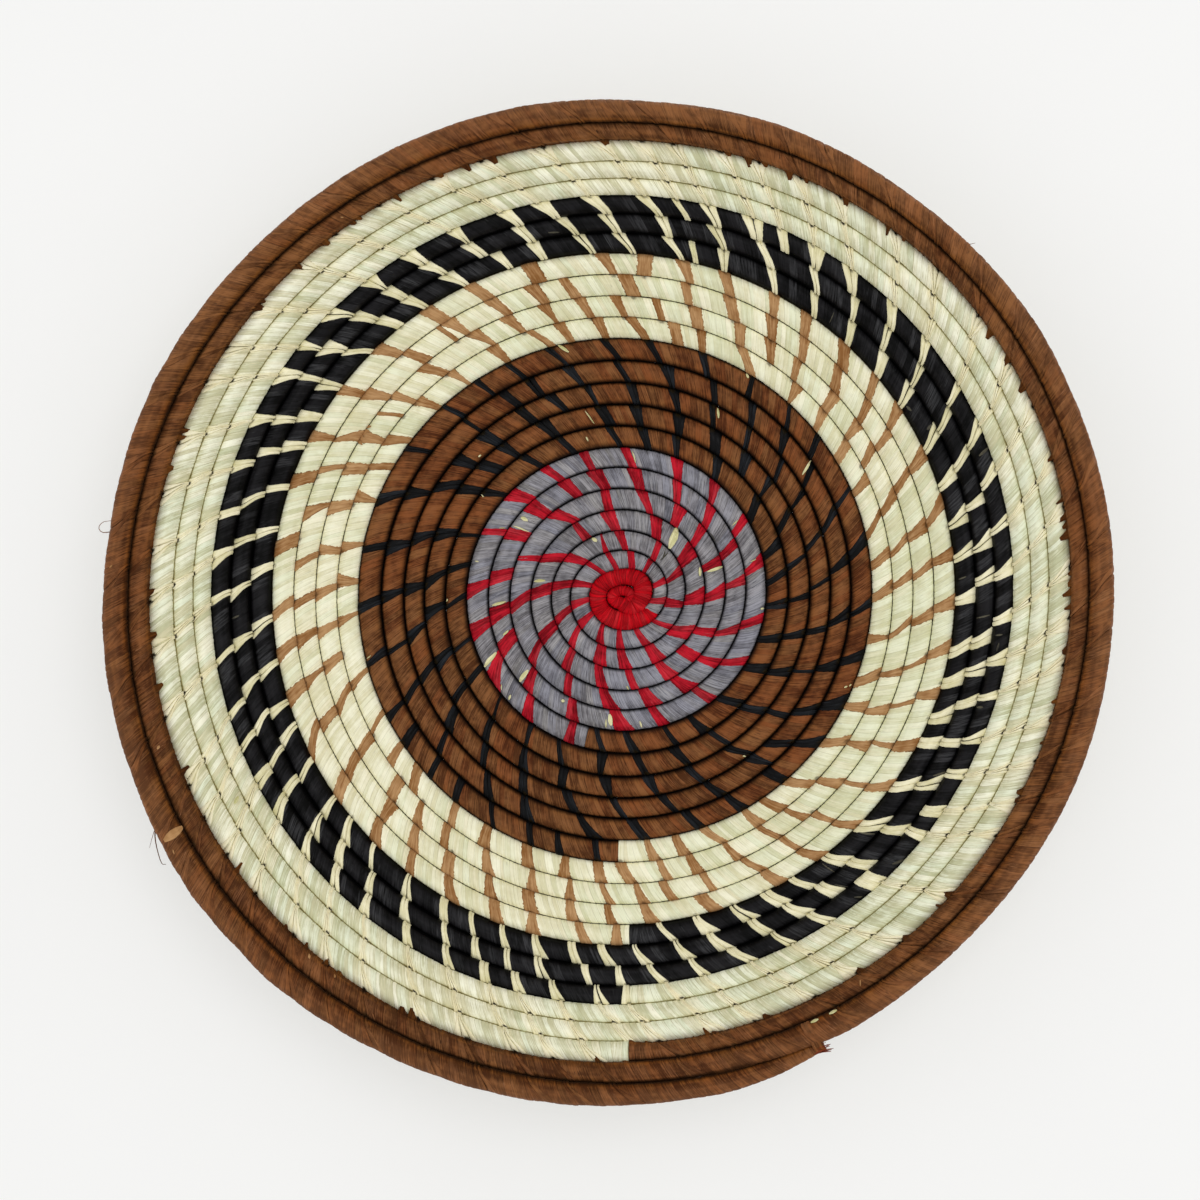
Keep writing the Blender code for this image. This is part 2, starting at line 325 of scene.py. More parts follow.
print("top of the last row:", np.round(1000 * on_row(TURNS - 0.5, math.pi / 2), 1), "mm")

# %% [markdown]
# ## From a flat chart to a piece
# Raffia is a flat strip, and its pattern has to follow it round the row. So each piece starts
# as a flat grid with a UV map, as the strip lies on the table, and is then rolled round the
# row: `create_grid` makes the faces, numpy moves the points, and the two edges that meet are
# merged. A sweep along a curve would also give the tube, but not one strip after another.

# %% Chart to piece
UV = "raffia"
MARKS = ("pressed", "tied", "bitten")
MERGE_WITHIN = 2e-6


def chart(columns, rows, copies=1):
    """Flat grids of columns by rows squares, one above the other."""
    bm = bmesh.new()
    bm.loops.layers.uv.new(UV)
    for copy in range(copies):
        level = Matrix.Translation((0.0, 0.0, copy))
        bmesh.ops.create_grid(
            bm, x_segments=columns, y_segments=rows, size=1.0, matrix=level, calc_uvs=True
        )
    return bm


def nth(share, count):
    """The number of the chart's line at a share of the way across."""
    return np.rint(share * count).astype(int)


def no_marks(x, y, copy):
    """The marks of a piece that nothing presses on, ties or bites into."""
    return {mark: np.zeros_like(x) for mark in MARKS}


def mould(name, bm, place, label, marks=no_marks, smooth=True):
    """Move every point of a chart by place, give every corner the UV of label, and close it.

    Marks are values at the points, such as how much a neighbour presses, for the materials.
    """
    mesh = bpy.data.meshes.new(name)
    bm.to_mesh(mesh)
    flat = np.empty(3 * len(mesh.vertices))
    mesh.vertices.foreach_get("co", flat)
    x, y, copy = flat.reshape(-1, 3).T
    x, y, copy = (x + 1) / 2, (y + 1) / 2, np.rint(copy).astype(int)
    mesh.vertices.foreach_set("co", place(x, y, copy).ravel())
    for mark, values in marks(x, y, copy).items():
        mesh.attributes.new(mark, "FLOAT", "POINT").data.foreach_set("value", values)
    corner = np.empty(len(mesh.loops), dtype=int)
    mesh.loops.foreach_get("vertex_index", corner)
    mesh.uv_layers[UV].data.foreach_set("uv", label(x, y, copy)[corner].ravel())
    bm.clear()
    bm.from_mesh(mesh)
    bmesh.ops.remove_doubles(bm, verts=bm.verts, dist=MERGE_WITHIN)
    open_edges = [edge for edge in bm.edges if edge.is_boundary]
    caps = bmesh.ops.holes_fill(bm, edges=open_edges, sides=0)["faces"] if open_edges else []
    for face in bm.faces:
        face.smooth = smooth
    for face in caps:
        face.smooth = False
    if bm.calc_volume(signed=True) < 0:
        bmesh.ops.reverse_faces(bm, faces=bm.faces)
    bm.to_mesh(mesh)
    bm.free()
    piece = link(name, mesh)
    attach(piece, "root")
    print(name, len(mesh.polygons), "faces")
    return piece


print("marks of a piece:", *MARKS)

# %% [markdown]
# ## The stitches' plan
# Every stitch ties a row to the one inside it. They aren't evenly spaced, and the eye sees
# that at once, so a measuring program looked for their colours on the photograph, row by row,
# and a few that it missed were added. The tables below are what it found: turn along
# the coil from the stitch before, slant over one row, and width at the row's inner and outer
# side, all in tenths of a degree. The pale and brown stitches have their wrap's colour, so a
# rule sets them on.

# %% Plan of the stitches
RED_STITCHES = """
4158/30/90/90 241/30/80/80 284/50/60/62 237/110/140/85 306/106/109/66 288/96/96/68 330/55/95/93
273/51/92/104 262/37/86/119 288/75/70/94 268/13/66/81 277/26/78/80 282/54/56/56 255/0/102/56
275/66/53/78 301/62/65/53 359/85/79/90 202/0/65/18 329/89/89/96 299/67/85/75 294/77/78/71
240/85/62/75 303/32/93/103 216/39/80/99 276/10/90/115 283/72/100/116 284/44/82/111 319/47/88/115
305/79/77/80 343/57/80/92 253/22/76/44 294/92/89/68 268/59/99/79 302/49/79/80 247/48/60/62
249/64/62/70 222/31/48/45 234/30/58/76 184/20/69/64 170/33/53/55 235/53/58/79 177/17/40/48
185/48/44/52 163/30/54/67 198/87/45/60 238/12/55/44 272/93/57/71 329/50/45/28 258/79/72/62
314/74/48/59 260/44/45/40 229/63/52/74 229/38/56/74 196/44/50/79 185/38/38/52 174/63/34/47
247/29/30/45 164/38/39/42 187/52/39/47 190/48/39/46 203/46/50/60 182/46/51/65 150/40/48/54
192/32/65/75 160/37/54/54 212/45/65/65 174/35/54/67 150/48/62/63 207/48/39/54 242/37/39/52
227/52/53/74 174/32/38/46 229/31/31/39 195/63/36/42 189/52/38/38 231/41/30/45 179/39/31/34
175/47/29/45 175/40/35/49 205/42/33/33 173/22/29/33 154/42/31/34 164/50/44/58 181/41/31/26
240/44/35/51 160/31/44/60 178/85/47/81 205/48/36/47 195/8/31/38
"""

BLACK_ON_BROWN_STITCHES = """
24848/39/20/22 121/36/26/39 159/25/18/21 113/24/22/38 152/46/32/34 157/35/31/36 117/28/26/33
128/18/23/32 98/41/24/25 100/38/28/42 159/53/36/34 197/39/25/35 164/29/19/30 115/37/25/32
110/45/21/25 176/38/24/22 138/42/21/26 178/45/20/29 176/26/12/16 118/36/16/20 120/45/20/13
154/29/14/13 114/30/22/20 137/44/10/12 146/25/19/12 124/41/16/21 147/0/49/18 134/28/27/20
137/32/36/22 143/29/19/17 145/40/26/30 148/34/23/34 127/29/20/27 120/21/12/18 115/32/21/11
134/51/24/20 120/26/9/25 100/33/26/36 114/34/36/46 127/22/24/38 134/26/22/41 102/33/35/57
186/29/29/42 142/25/22/37 80/35/62/73 97/36/26/32 156/31/26/36 144/52/20/37 97/28/22/49 151/32/25/38
119/28/24/22 145/33/22/26 141/31/19/29 131/9/26/22 136/22/37/16 136/22/34/14 131/29/23/19
146/47/27/19 158/23/16/19 143/23/6/2 123/23/18/18 133/29/10/11 123/38/16/15 124/30/9/15 99/35/15/16
125/29/15/16 116/33/16/18 112/34/16/29 121/22/20/25 119/23/11/17 100/35/19/29 94/24/25/26
123/24/28/45 98/22/25/42 84/49/29/31 158/36/20/43 146/18/19/32 122/36/18/34 117/34/19/21
147/36/26/34 135/33/23/19 131/26/24/26 138/39/28/25 132/36/20/17 136/31/24/15 129/28/19/27
143/35/31/12 69/48/28/22 109/43/22/30 129/29/17/31 129/39/18/28 137/32/15/25 118/46/15/22
126/38/12/18 106/34/14/26 105/29/18/22 111/28/16/17 121/29/15/33 122/35/16/16 121/30/15/26
106/16/20/22 70/23/20/21 119/15/5/8 224/30/15/33 142/26/17/36 124/20/14/27 135/20/11/13 117/37/16/17
150/31/14/20 157/42/19/29 109/33/20/36 158/50/18/34 127/33/26/25 136/27/23/24 111/22/17/26
117/20/26/21 113/45/21/34 111/38/24/42 117/32/22/26 119/36/13/20 144/38/24/30 121/29/13/4
137/28/15/14 90/33/13/3 112/15/15/6 117/31/16/19 122/37/13/18 100/38/14/16 126/35/4/14 102/26/13/12
82/18/8/14 91/21/14/9 123/27/12/15 125/42/19/31 124/21/18/16 131/22/20/22 125/23/21/13 127/20/10/19
67/22/19/22 91/18/14/14 76/20/19/15 96/33/14/5 96/23/15/14 67/18/11/17 87/11/13/12
"""

TAN_STITCHES = """
43000/16/18/28 66/13/22/39 78/35/24/21 95/16/21/30 54/27/24/30 76/38/30/31 120/39/29/41 90/19/21/37
67/37/32/46 90/12/25/11 100/28/24/38 72/27/25/28 76/44/21/17 87/19/20/27 84/21/56/140 82/19/20/27
79/9/15/48 123/45/30/45 104/16/19/22 57/19/36/34 82/38/24/27 78/17/20/26 78/19/20/27 54/38/19/18
93/17/20/31 100/18/10/21 87/21/20/28 102/31/21/34 66/24/20/18 74/4/15/44 105/15/14/25 75/0/18/41
78/18/12/22 130/25/15/21 101/29/16/12 76/19/20/27 68/31/44/52 110/19/20/21 80/13/25/41 97/19/27/37
81/6/21/31 73/12/26/31 55/24/28/28 79/14/18/21 63/12/20/27 83/17/15/22 86/26/16/16 67/25/15/24
95/27/22/34 96/18/16/30 79/24/19/29 80/20/14/20 93/42/15/18 96/26/19/24 69/32/16/19 89/32/22/34
102/26/20/24 58/10/18/29 72/8/25/41 94/17/18/21 62/24/22/43 69/17/26/31 92/18/34/36 76/18/18/19
78/20/18/25 68/19/20/26 71/19/11/24 73/23/20/29 68/27/16/29 117/29/24/35 80/18/15/21 42/26/5/4
59/14/19/32 68/18/28/31 80/21/25/30 88/4/20/24 81/19/18/28 74/17/18/25 66/20/22/28 75/39/22/27
101/19/26/21 103/17/38/30 68/25/19/30 66/20/21/21 96/26/19/36 94/12/16/27 75/7/13/23 71/22/14/20
65/15/15/24 54/17/19/20 79/12/17/16 93/28/16/19 81/16/16/14 81/19/17/12 88/21/12/14 91/13/11/14
85/26/8/12 79/30/9/17 87/23/18/24 89/26/16/19 73/19/23/32 99/27/19/18 82/16/16/21 64/20/17/21
79/26/31/25 82/20/20/24 70/21/22/29 82/24/34/45 87/15/19/21 108/18/42/48 110/19/24/20 59/19/22/29
75/22/21/26 85/20/18/31 22/15/5/2 70/21/25/20 103/22/20/36 95/32/25/12 63/25/12/15 80/30/15/29
95/27/15/19 73/21/17/18 67/19/18/26 74/20/6/22 81/19/22/24 97/25/24/22 105/10/40/19 69/22/21/31
78/16/26/32 85/20/18/29 77/18/28/36 77/11/20/25 70/12/16/21 70/16/21/30 110/22/56/69 125/20/22/30
80/28/21/30 83/30/18/25 89/32/21/32 86/22/26/36 98/16/18/25 79/23/22/29 80/15/20/29 82/12/18/24
81/35/21/31 93/19/21/32 87/22/20/28 65/22/18/20 72/27/34/31 85/18/22/25 64/16/20/24 89/23/22/24
73/21/20/28 72/0/90/66 65/21/20/28 127/11/62/49 100/21/25/25 85/17/26/28 103/22/22/30 94/17/19/25
92/15/15/24 79/23/27/34 115/24/42/52 111/26/22/20 69/23/22/27 76/18/26/32 87/47/24/35 94/25/30/29
98/24/22/31 78/18/17/21 81/28/23/34 86/19/25/42 66/11/19/29 86/18/18/22 58/1/15/21
"""

CREAM_ON_BLACK_STITCHES = """
57411/24/10/13 64/20/14/34 69/24/15/32 60/22/23/29 53/25/13/16 70/25/19/30 85/37/28/44 85/30/23/34
82/15/19/23 47/22/20/29 63/21/19/26 55/24/21/22 82/12/16/24 73/17/14/19 56/17/14/26 67/18/15/23
70/25/15/21 83/18/14/21 64/20/16/21 71/18/12/15 74/21/11/15 77/23/11/16 86/11/11/17 51/14/1/5
32/31/10/16 79/25/12/19 65/21/12/18 77/12/13/20 60/15/11/18 82/22/12/22 75/19/12/20 53/19/16/19
70/32/11/14 71/15/14/20 60/15/15/21 53/16/15/21 73/14/11/12 72/15/11/18 63/18/13/16 88/20/14/21
72/18/11/15 65/11/11/17 45/20/13/19 64/21/11/10 70/14/10/16 49/25/12/18 57/24/9/9 75/18/10/18
70/17/14/15 51/19/9/9 54/18/9/14 57/19/11/19 59/14/14/16 51/19/12/15 56/21/9/19 68/20/10/21
58/21/13/21 71/19/16/20 64/24/16/30 62/19/19/26 66/23/18/22 75/23/15/22 89/25/16/25 75/11/15/16
67/19/15/19 53/14/16/22 48/19/20/25 96/14/15/20 52/17/11/24 64/11/11/16 71/22/14/16 64/22/11/16
81/17/9/14 74/17/11/13 66/18/9/15 73/26/11/15 86/31/15/15 75/25/11/19 84/16/12/16 83/19/14/19
66/21/11/18 68/16/15/20 80/17/16/20 69/21/11/20 71/14/15/20 59/18/15/22 68/20/14/27 57/12/9/12
75/14/12/18 54/14/11/15 77/24/10/14 64/15/10/12 75/21/9/18 77/15/10/19 70/22/10/19 58/25/9/12
59/19/10/11 49/12/14/16 73/20/10/21 55/20/14/19 64/14/11/16 67/18/12/19 72/19/9/12 51/14/11/16
51/11/10/11 52/16/13/18 71/11/11/9 50/6/6/14 56/21/10/14 64/18/9/14 69/27/15/15 66/20/9/14
66/22/13/16 94/14/34/34 100/8/15/19 41/16/18/21 66/12/16/19 58/19/11/21 67/13/10/14 56/13/14/21
62/14/14/19 68/16/14/24 67/16/11/15 72/22/14/20 64/25/11/19 66/17/8/14 77/22/11/19 69/23/16/20
77/23/16/23 61/14/15/27 53/17/14/16 45/16/20/34 64/22/14/21 46/23/1/10 45/28/12/19 77/26/15/24
73/20/13/24 54/17/14/22 80/12/8/20 73/13/17/25 68/11/8/22 70/24/10/25 64/13/8/18 52/19/14/25
75/16/11/21 71/15/12/19 73/13/12/12 62/18/13/22 61/14/10/13 85/19/4/5 79/17/10/12 50/17/10/9
56/12/17/18 51/20/16/20 68/22/10/16 62/20/13/16 60/12/11/18 73/18/13/16 67/19/11/16 59/12/14/16
49/15/13/18 56/15/10/18 64/10/9/19 39/0/8/12
"""


def words(text):
    """The numbers of a table that is written as short words."""
    return np.array([[int(number) for number in word.split("/")] for word in text.split()])


def read_plan(text):
    """Columns turn, slant, inner width, outer width: all in turns."""
    plan = words(text)
    plan[:, 0] = np.cumsum(plan[:, 0])
    return plan / 3600


PLACE_JITTER, SLANT_JITTER = 0.0006, 0.0008
TOO_NEAR, TOO_FAR = 0.45, 1.6  # shares of the spacing at which a stitch is left out or added


def chained(seed_row, last, slant, spacing, widths, dice):
    """Stitches that each start where one of the row before ends, with new ones where they part."""
    made = [tuple(stitch) for stitch in seed_row]
    done, k = [], 0
    while k < len(made):
        turn = made[k][0] + 1.0 + slant + dice.normal(0.0, PLACE_JITTER)
        k += 1
        if turn > last:
            break
        gap = turn - (done[-1][0] if done else turn - spacing)
        if gap < TOO_NEAR * spacing:
            continue
        news = [turn - gap / 2, turn] if gap > TOO_FAR * spacing else [turn]
        for new in news:
            inner, outer = (width * dice.uniform(0.8, 1.2) for width in widths)
            done.append((new, slant + dice.normal(0.0, SLANT_JITTER), inner, outer))
            made.append(done[-1])
    return np.array(done)


dice = np.random.RandomState(7)
degree = 1 / 360
MEASURED = {
    # the plan, and the width in degrees past which no strip of raffia goes
    "red": (RED_STITCHES, 10.5), "black": (BLACK_ON_BROWN_STITCHES, 3.6),
    "tan": (TAN_STITCHES, 3.0), "cream": (CREAM_ON_BLACK_STITCHES, 2.8),
}
PLAN = {}
for name, (table, widest) in MEASURED.items():
    PLAN[name] = read_plan(table)
    PLAN[name][:, 2:] = np.clip(PLAN[name][:, 2:], 0.9 * degree, widest * degree)
last_black_row = PLAN["cream"][PLAN["cream"][:, 0] > SPAN["black_wrap"][1] - 1.0]
PLAN["pale"] = chained(
    last_black_row, RIM_START, 1.9 * degree, 6.9 * degree, (0.45 * degree, 1.15 * degree), dice
)
in_last_row = PLAN["pale"][:, 0] > RIM_START - 1.0
PLAN["pale"][in_last_row, 3] *= 1.9  # the last row's stitches fan out towards the rim
PLAN["rim"] = chained(
    PLAN["pale"][in_last_row], TURNS - 0.06, 2.2 * degree, 6.4 * degree,
    (0.8 * degree, 1.9 * degree), dice,
)
ALL_STITCHES = np.concatenate(list(PLAN.values()))
ALL_STITCHES = ALL_STITCHES[np.argsort(ALL_STITCHES[:, 0])]
BITES = np.sort(ALL_STITCHES[:, 0] - ALL_STITCHES[:, 1] / 2 - 1.0)  # where each one bites in
print("stitches:", {name: len(rows) for name, rows in PLAN.items()}, "in all", len(ALL_STITCHES))

# %% [markdown]
# ## The wraps
# A wrap is one strip of raffia after another, side by side round the bundle. The strips are
# about 1 to 3.5 mm wide, slant the same way as the stitches, and each has its own height and
# tone. A smooth tube with a bump map would lose the strips at the edge of the basket, so every
# strip is four columns of the chart: a low groove, two shoulders and a middle. Where a stitch
# pulls a row down, the wrap dips, and between two stitches it swells like a small pillow.

# %% Strips side by side
SHOULDERS = np.array([0.0, 0.14, 0.50, 0.86])  # a strip's columns, as shares of its width
STRIP_PROFILE = np.array([-1.0, 0.45, 1.0, 0.55])  # and how high each stands


def side_by_side(start, end, mean_width, spread, dice):
    """Length laid, strip number with its share, and profile height of each column of strips."""
    count = int((end - start) / mean_width)
    widths = dice.uniform(*spread, count)
    edges = start + np.append(0.0, np.cumsum(widths)) / widths.sum() * (end - start)
    places = (edges[:-1, None] + np.diff(edges)[:, None] * SHOULDERS).ravel()
    numbers = (np.arange(count)[:, None] + SHOULDERS).ravel()
    profile = np.tile(STRIP_PROFILE, count)
    return np.append(places, end), np.append(numbers, count - 1e-4), np.append(profile, -1.0)


def strip_columns(first, last, mean_width, dice):
    """Turn, strip number with its share, and profile height of each column of a wrap."""
    start, end = np.interp((first, last), COIL[:, TURN], LAID)
    places, numbers, profile = side_by_side(start, end, mean_width, (0.62, 1.38), dice)
    # some strips overlap and show no groove
    profile[:-1:4] *= dice.uniform(0.15, 1.2, len(profile) // 4)
    return np.interp(places, LAID, COIL[:, TURN]), numbers, profile


def between_ties(turn, side):
    """Distance to the nearest stitch, in degrees, and the share of the way from tie to tie."""
    tied, slants = ALL_STITCHES[:, 0], ALL_STITCHES[:, 1]
    after = np.clip(np.searchsorted(tied, turn), 1, len(tied) - 1)
    for again in range(2):  # the stitch's own slant moves it a little
        before = after - 1
        behind = turn - tied[before] - slants[before] * side / 2
        ahead = tied[after] + slants[after] * side / 2 - turn
        after = np.clip(after + (ahead < 0) - (behind < 0), 1, len(tied) - 1)
    near = 360 * np.minimum(np.abs(behind), np.abs(ahead))
    share = np.clip(behind / np.maximum(behind + ahead, 1e-6), 0.0, 1.0)
    return near, np.where(behind + ahead < 0.1, share, 0.0)


HOLE_LENGTH, HOLE_WIDTH = 0.0008, 0.20  # in metres along the row, as a share across it
HOLE_PLACE, HOLE_PLACE_UNDER_RIM = 0.80, 1.08  # across the row


def bitten(turn, around):
    """1 at the small holes where the next row's stitches bite in, painted dark as shade."""
    after = np.clip(np.searchsorted(BITES, turn), 1, len(BITES) - 1)
    near = np.minimum(np.abs(turn - BITES[after]), np.abs(turn - BITES[after - 1]))
    near = near * math.tau * coil_at(turn, OUT)[0]
    place = np.where(under_rim(turn), HOLE_PLACE_UNDER_RIM, HOLE_PLACE)
    aside = (across(turn, around) - place) / HOLE_WIDTH
    return np.exp(-((near / HOLE_LENGTH) ** 2) - aside**2)


print("bites of the stitches:", len(BITES))


# %% Roll a wrap
SIDES = 20
END_FADE = 0.02  # turns over which the strips' slant ends at a length's ends
LEVEL_SPREAD = 0.35  # how much one strip stands higher than another, as a share of the relief
DIP_REACH, TIE_REACH = 0.8, 1.3  # how far a stitch pulls the wrap down, and tints it, in degrees
TOOTH = np.array([0.0, 0.9, 1.0, 0.3])  # a tooth's length at each column of its strip
SHORT_TOOTH, LONG_TOOTH = 0.08, (0.3, 0.9)  # length of most teeth, and the range of the long ones
LONG_TEETH = 0.2  # share of the long ones
TOOTH_REACH, TOOTH_ROOT = 64, 4  # degrees round the row inside: a tooth of length 1, and its root
TOOTH_LEAN = 0.45  # degrees along the coil by which a tooth of length 1 leans back
TOOTH_LIFT = 0.0002


def wrap(node, slant, mean_width, relief, dip, pillow, seed, toothed=False):
    """One length of raffia, wrapped strip by strip round its rows of the coil."""
    dice = np.random.RandomState(seed)
    first, last = SPAN[node]
    last -= 0.0001 if last < TURNS else 0.0
    column_turn, column_number, column_height = strip_columns(first, last, mean_width, dice)
    count = len(column_turn) - 1
    strips = count // 4 + 2
    levels = dice.normal(0.0, LEVEL_SPREAD, strips)
    swing = dice.uniform(0, math.tau, strips)
    long = dice.uniform(size=strips) < LONG_TEETH
    depth = np.where(long, dice.uniform(*LONG_TOOTH, strips), SHORT_TOOTH)

    def spot(x, y):
        """Column number, turn after the slant, and angle round the row."""
        k = nth(x, count)
        around = math.tau * y
        turn = column_turn[k]
        fade = eased((turn - first) / END_FADE) * eased((last - turn) / END_FADE)
        turn = turn + slant / 2 * across(turn, around) * fade
        return k, np.clip(turn, first, last), around

    def biting(k, turn, y):
        """How far a strip of the first row reaches over the row inside it."""
        if not toothed:
            return np.zeros_like(y)
        return depth[k // 4] * TOOTH[k % 4] * (turn < first + 1.0) * (nth(y, SIDES) == 1)

    def place(x, y, copy):
        k, turn, around = spot(x, y)
        near, share = between_ties(turn, across(turn, around))
        uneven = levels[k // 4] + LEVEL_SPREAD * np.sin(2 * around + swing[k // 4])
        height = relief * (column_height[k] + uneven * (column_height[k] > 0))
        height += pillow * 4 * share * (1 - share) - dip * np.exp(-((near / DIP_REACH) ** 2))
        bite = biting(k, turn, y)
        reach = math.pi - np.radians(TOOTH_REACH * bite - TOOTH_ROOT)
        tip = on_row(turn - 1.0 - TOOTH_LEAN * degree * bite, reach, TOOTH_LIFT)
        return np.where(bite[:, None] > 0, tip, on_row(turn, around, height))

    def label(x, y, copy):
        return np.stack([column_number[nth(x, count)], y], -1)

    def marks(x, y, copy):
        k, turn, around = spot(x, y)
        near, share = between_ties(turn, across(turn, around))
        squeezed = pressed(turn, around) * np.where(biting(k, turn, y) > 0, 0.5, 1.0)
        if toothed:  # its first row lies on the row inside it, and little of it is in the dark
            squeezed *= np.where((turn < first + 1.0) & (np.cos(around) > 0), 0.45, 1.0)
        tied = np.exp(-((near / TIE_REACH) ** 2))
        return {"pressed": squeezed, "tied": tied, "bitten": bitten(turn, around)}

    piece = mould(node + "_raffia", chart(count, SIDES), place, label, marks)
    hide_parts(node)
    return piece


WRAPS = {
    # node: slant per row in degrees, strip width in mm, relief, dip and pillow in hundredths
    "grey_wrap": (4.6, 2.1, 4, 5, 3),
    "inner_brown_wrap": (3.1, 2.3, 5, 6, 4),
    "inner_cream_wrap": (2.1, 1.8, 5, 6, 5),
    "black_wrap": (1.8, 2.6, 3, 6, 4),
    "outer_cream_wrap": (1.6, 1.9, 6, 12, 14),
    "rim_wrap": (1.2, 2.5, 7, 11, 13),
}
wraps = {}
for seed, (node, (slant, width, *heights)) in enumerate(WRAPS.items()):
    heights = [HUNDREDTH * height for height in heights]
    wraps[node] = wrap(node, slant * degree, width / 1000, *heights, seed, node == "rim_wrap")
print("wraps:", len(wraps))

# %% [markdown]
# ## The knot in the middle
# The maker starts with a tight curl of stems, wrapped in red. It is too tight for the coil's
# law, so its path is a table of places, from the same program and smoothed: a small loop
# round a pinhole, and then one turn that ends where the grey raffia starts.

# %% Path of the knot
KNOT_RING = np.array([
    # turn, distance of the outer edge from the axis in mm
    (0.101, 9.7), (0.124, 9.5), (0.174, 10.3), (0.224, 10.9), (0.274, 11.0), (0.321, 9.9),
    (0.357, 9.2), (0.396, 8.6), (0.465, 8.1), (0.549, 8.5), (0.590, 8.9), (0.674, 9.3),
    (0.776, 9.8), (0.876, 10.2), (0.924, 10.6), (0.982, 11.3), (1.024, 11.9), (1.057, 12.7),
    (1.079, 13.4), (1.104, 13.7),
])
KNOT_HEART = (0.0011, -0.0003)  # middle of the small loop, from the axis
KNOT_START = -1.75


def knot_path():
    """Turn, x, y, height and radius along the knot's middle line, finely spaced."""
    turns = np.arange(KNOT_START, SPAN["centre_knot"][1] + 0.018, 0.004)
    angle = bearing(turns)
    ring_radius = np.interp(
        turns, (0.1, 0.25, 0.4, 0.7, 0.92, 1.1), (0.0030, 0.0031, 0.0026, 0.00285, 0.00305, 0.0026)
    )
    ring = np.interp(turns, KNOT_RING[:, 0], KNOT_RING[:, 1]) / 1000 - ring_radius
    loop = np.interp(turns, (KNOT_START, -1.2, -0.9, -0.1), (0.0002, 0.0012, 0.0028, 0.0030))
    share = eased((turns + 0.12) / 0.26)
    x = share * ring * np.cos(angle) + (1 - share) * (KNOT_HEART[0] + loop * np.cos(angle))
    y = share * ring * np.sin(angle) + (1 - share) * (KNOT_HEART[1] + 0.66 * loop * np.sin(angle))
    height = np.interp(
        turns, (KNOT_START, -1.2, -0.85, -0.2, 0.3), (0.0010, 0.0012, 0.0021, 0.0023, 0.0020)
    )
    radius = 0.0001 * np.interp(
        turns, (KNOT_START, -1.2, -0.9, -0.58, -0.33, -0.08, 0.2, 0.4, 0.7, 0.92, 1.1, 1.125),
        (9, 11, 19, 17, 20, 23, 31, 27, 29, 31, 26, 21),
    )
    path = np.stack([x + AXIS[0], y + AXIS[1], height, radius])
    window = np.hanning(17) / np.hanning(17).sum()
    padded = np.pad(path, ((0, 0), (8, 8)), mode="reflect", reflect_type="odd")
    return turns, np.stack([np.convolve(line, window, mode="valid") for line in padded])


KNOT_TURN, KNOT_LINE = knot_path()
knot_step = np.hypot(*np.gradient(KNOT_LINE[:2], axis=1))
KNOT_LAID = np.append(0.0, np.cumsum(knot_step[1:]))
print("knot:", round(1000 * KNOT_LAID[-1], 1), "mm of coil")


# %% Wrap the knot
KNOT_POWER = 0.94  # of its section, nearly round
KNOT_BELOW, KNOT_ABOVE = 0.9, 1.02  # it is flatter below than above
KNOT_SLANT = 0.0004


def knot(mean_width=0.00095, relief=0.00008, seed=11):
    """The red raffia round the first curl of stems."""
    dice = np.random.RandomState(seed)
    places, numbers, profile = side_by_side(0.0, KNOT_LAID[-1], mean_width, (0.7, 1.3), dice)
    count = len(places) - 1
    levels = np.repeat(dice.normal(0.0, 0.5, count // 4 + 1), 4)[: count + 1]
    across_x, across_y = np.gradient(KNOT_LINE[1]), -np.gradient(KNOT_LINE[0])
    length = np.hypot(across_x, across_y)

    def place(x, y, copy):
        k = nth(x, count)
        around = math.tau * y
        along = places[k] + KNOT_SLANT * np.sin(around)
        at_x, at_y, high, radius = (np.interp(along, KNOT_LAID, line) for line in KNOT_LINE)
        out_x, out_y = (np.interp(along, KNOT_LAID, line / length) for line in (across_x, across_y))
        thick = radius + relief * (profile[k] + levels[k] * (profile[k] > 0))
        side = -squarer(np.cos(around), KNOT_POWER) * thick
        fuller = np.where(np.sin(around) > 0, KNOT_ABOVE, KNOT_BELOW)
        high = np.maximum(high + squarer(np.sin(around), KNOT_POWER) * thick * fuller, 0.0)
        return np.stack([at_x + side * out_x, at_y + side * out_y, high], -1)

    def label(x, y, copy):
        return np.stack([numbers[nth(x, count)], y], -1)

    def marks(x, y, copy):
        return {**no_marks(x, y, copy), "pressed": np.ones_like(x)}

    piece = mould("centre_knot_raffia", chart(count, SIDES), place, label, marks)
    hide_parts("centre_knot")
    return piece


wraps["centre_knot"] = knot()

# %% [markdown]
# ## The stitches
# A stitch is a flat strip that goes once round its row and bites into the row inside it. It
# could be a curve with a bevel, but its width changes from one side of the row to the other.
# All but the tan ones are torn into two or three strands, which start close together and fan
# out. So each strand is a small closed ring of 12 stations with five corners, moved onto the
# row. The 849 stitches have about 1,700 strands, so each strand has only 60 faces.

# %% Strands of a stitch
def strands(plan, count, forked, fork, seed, overlap):
    """Each stitch of a plan as several thinner ones; some of them fork at the outer end."""
    dice = np.random.RandomState(seed)
    lines = []
    for turn, slant, inner, outer in plan:
        opened = fork if dice.uniform() < forked else 1.0
        for strand in range(count):
            place = (strand + 0.5) / count - 0.5
            start, end = place * inner, place * outer * opened
            thin = overlap / count * dice.uniform(0.85, 1.15)
            middle, leaning = turn + (start + end) / 2, slant + end - start
            lines.append((middle, leaning, inner * thin, outer * thin))
    return np.array(lines)


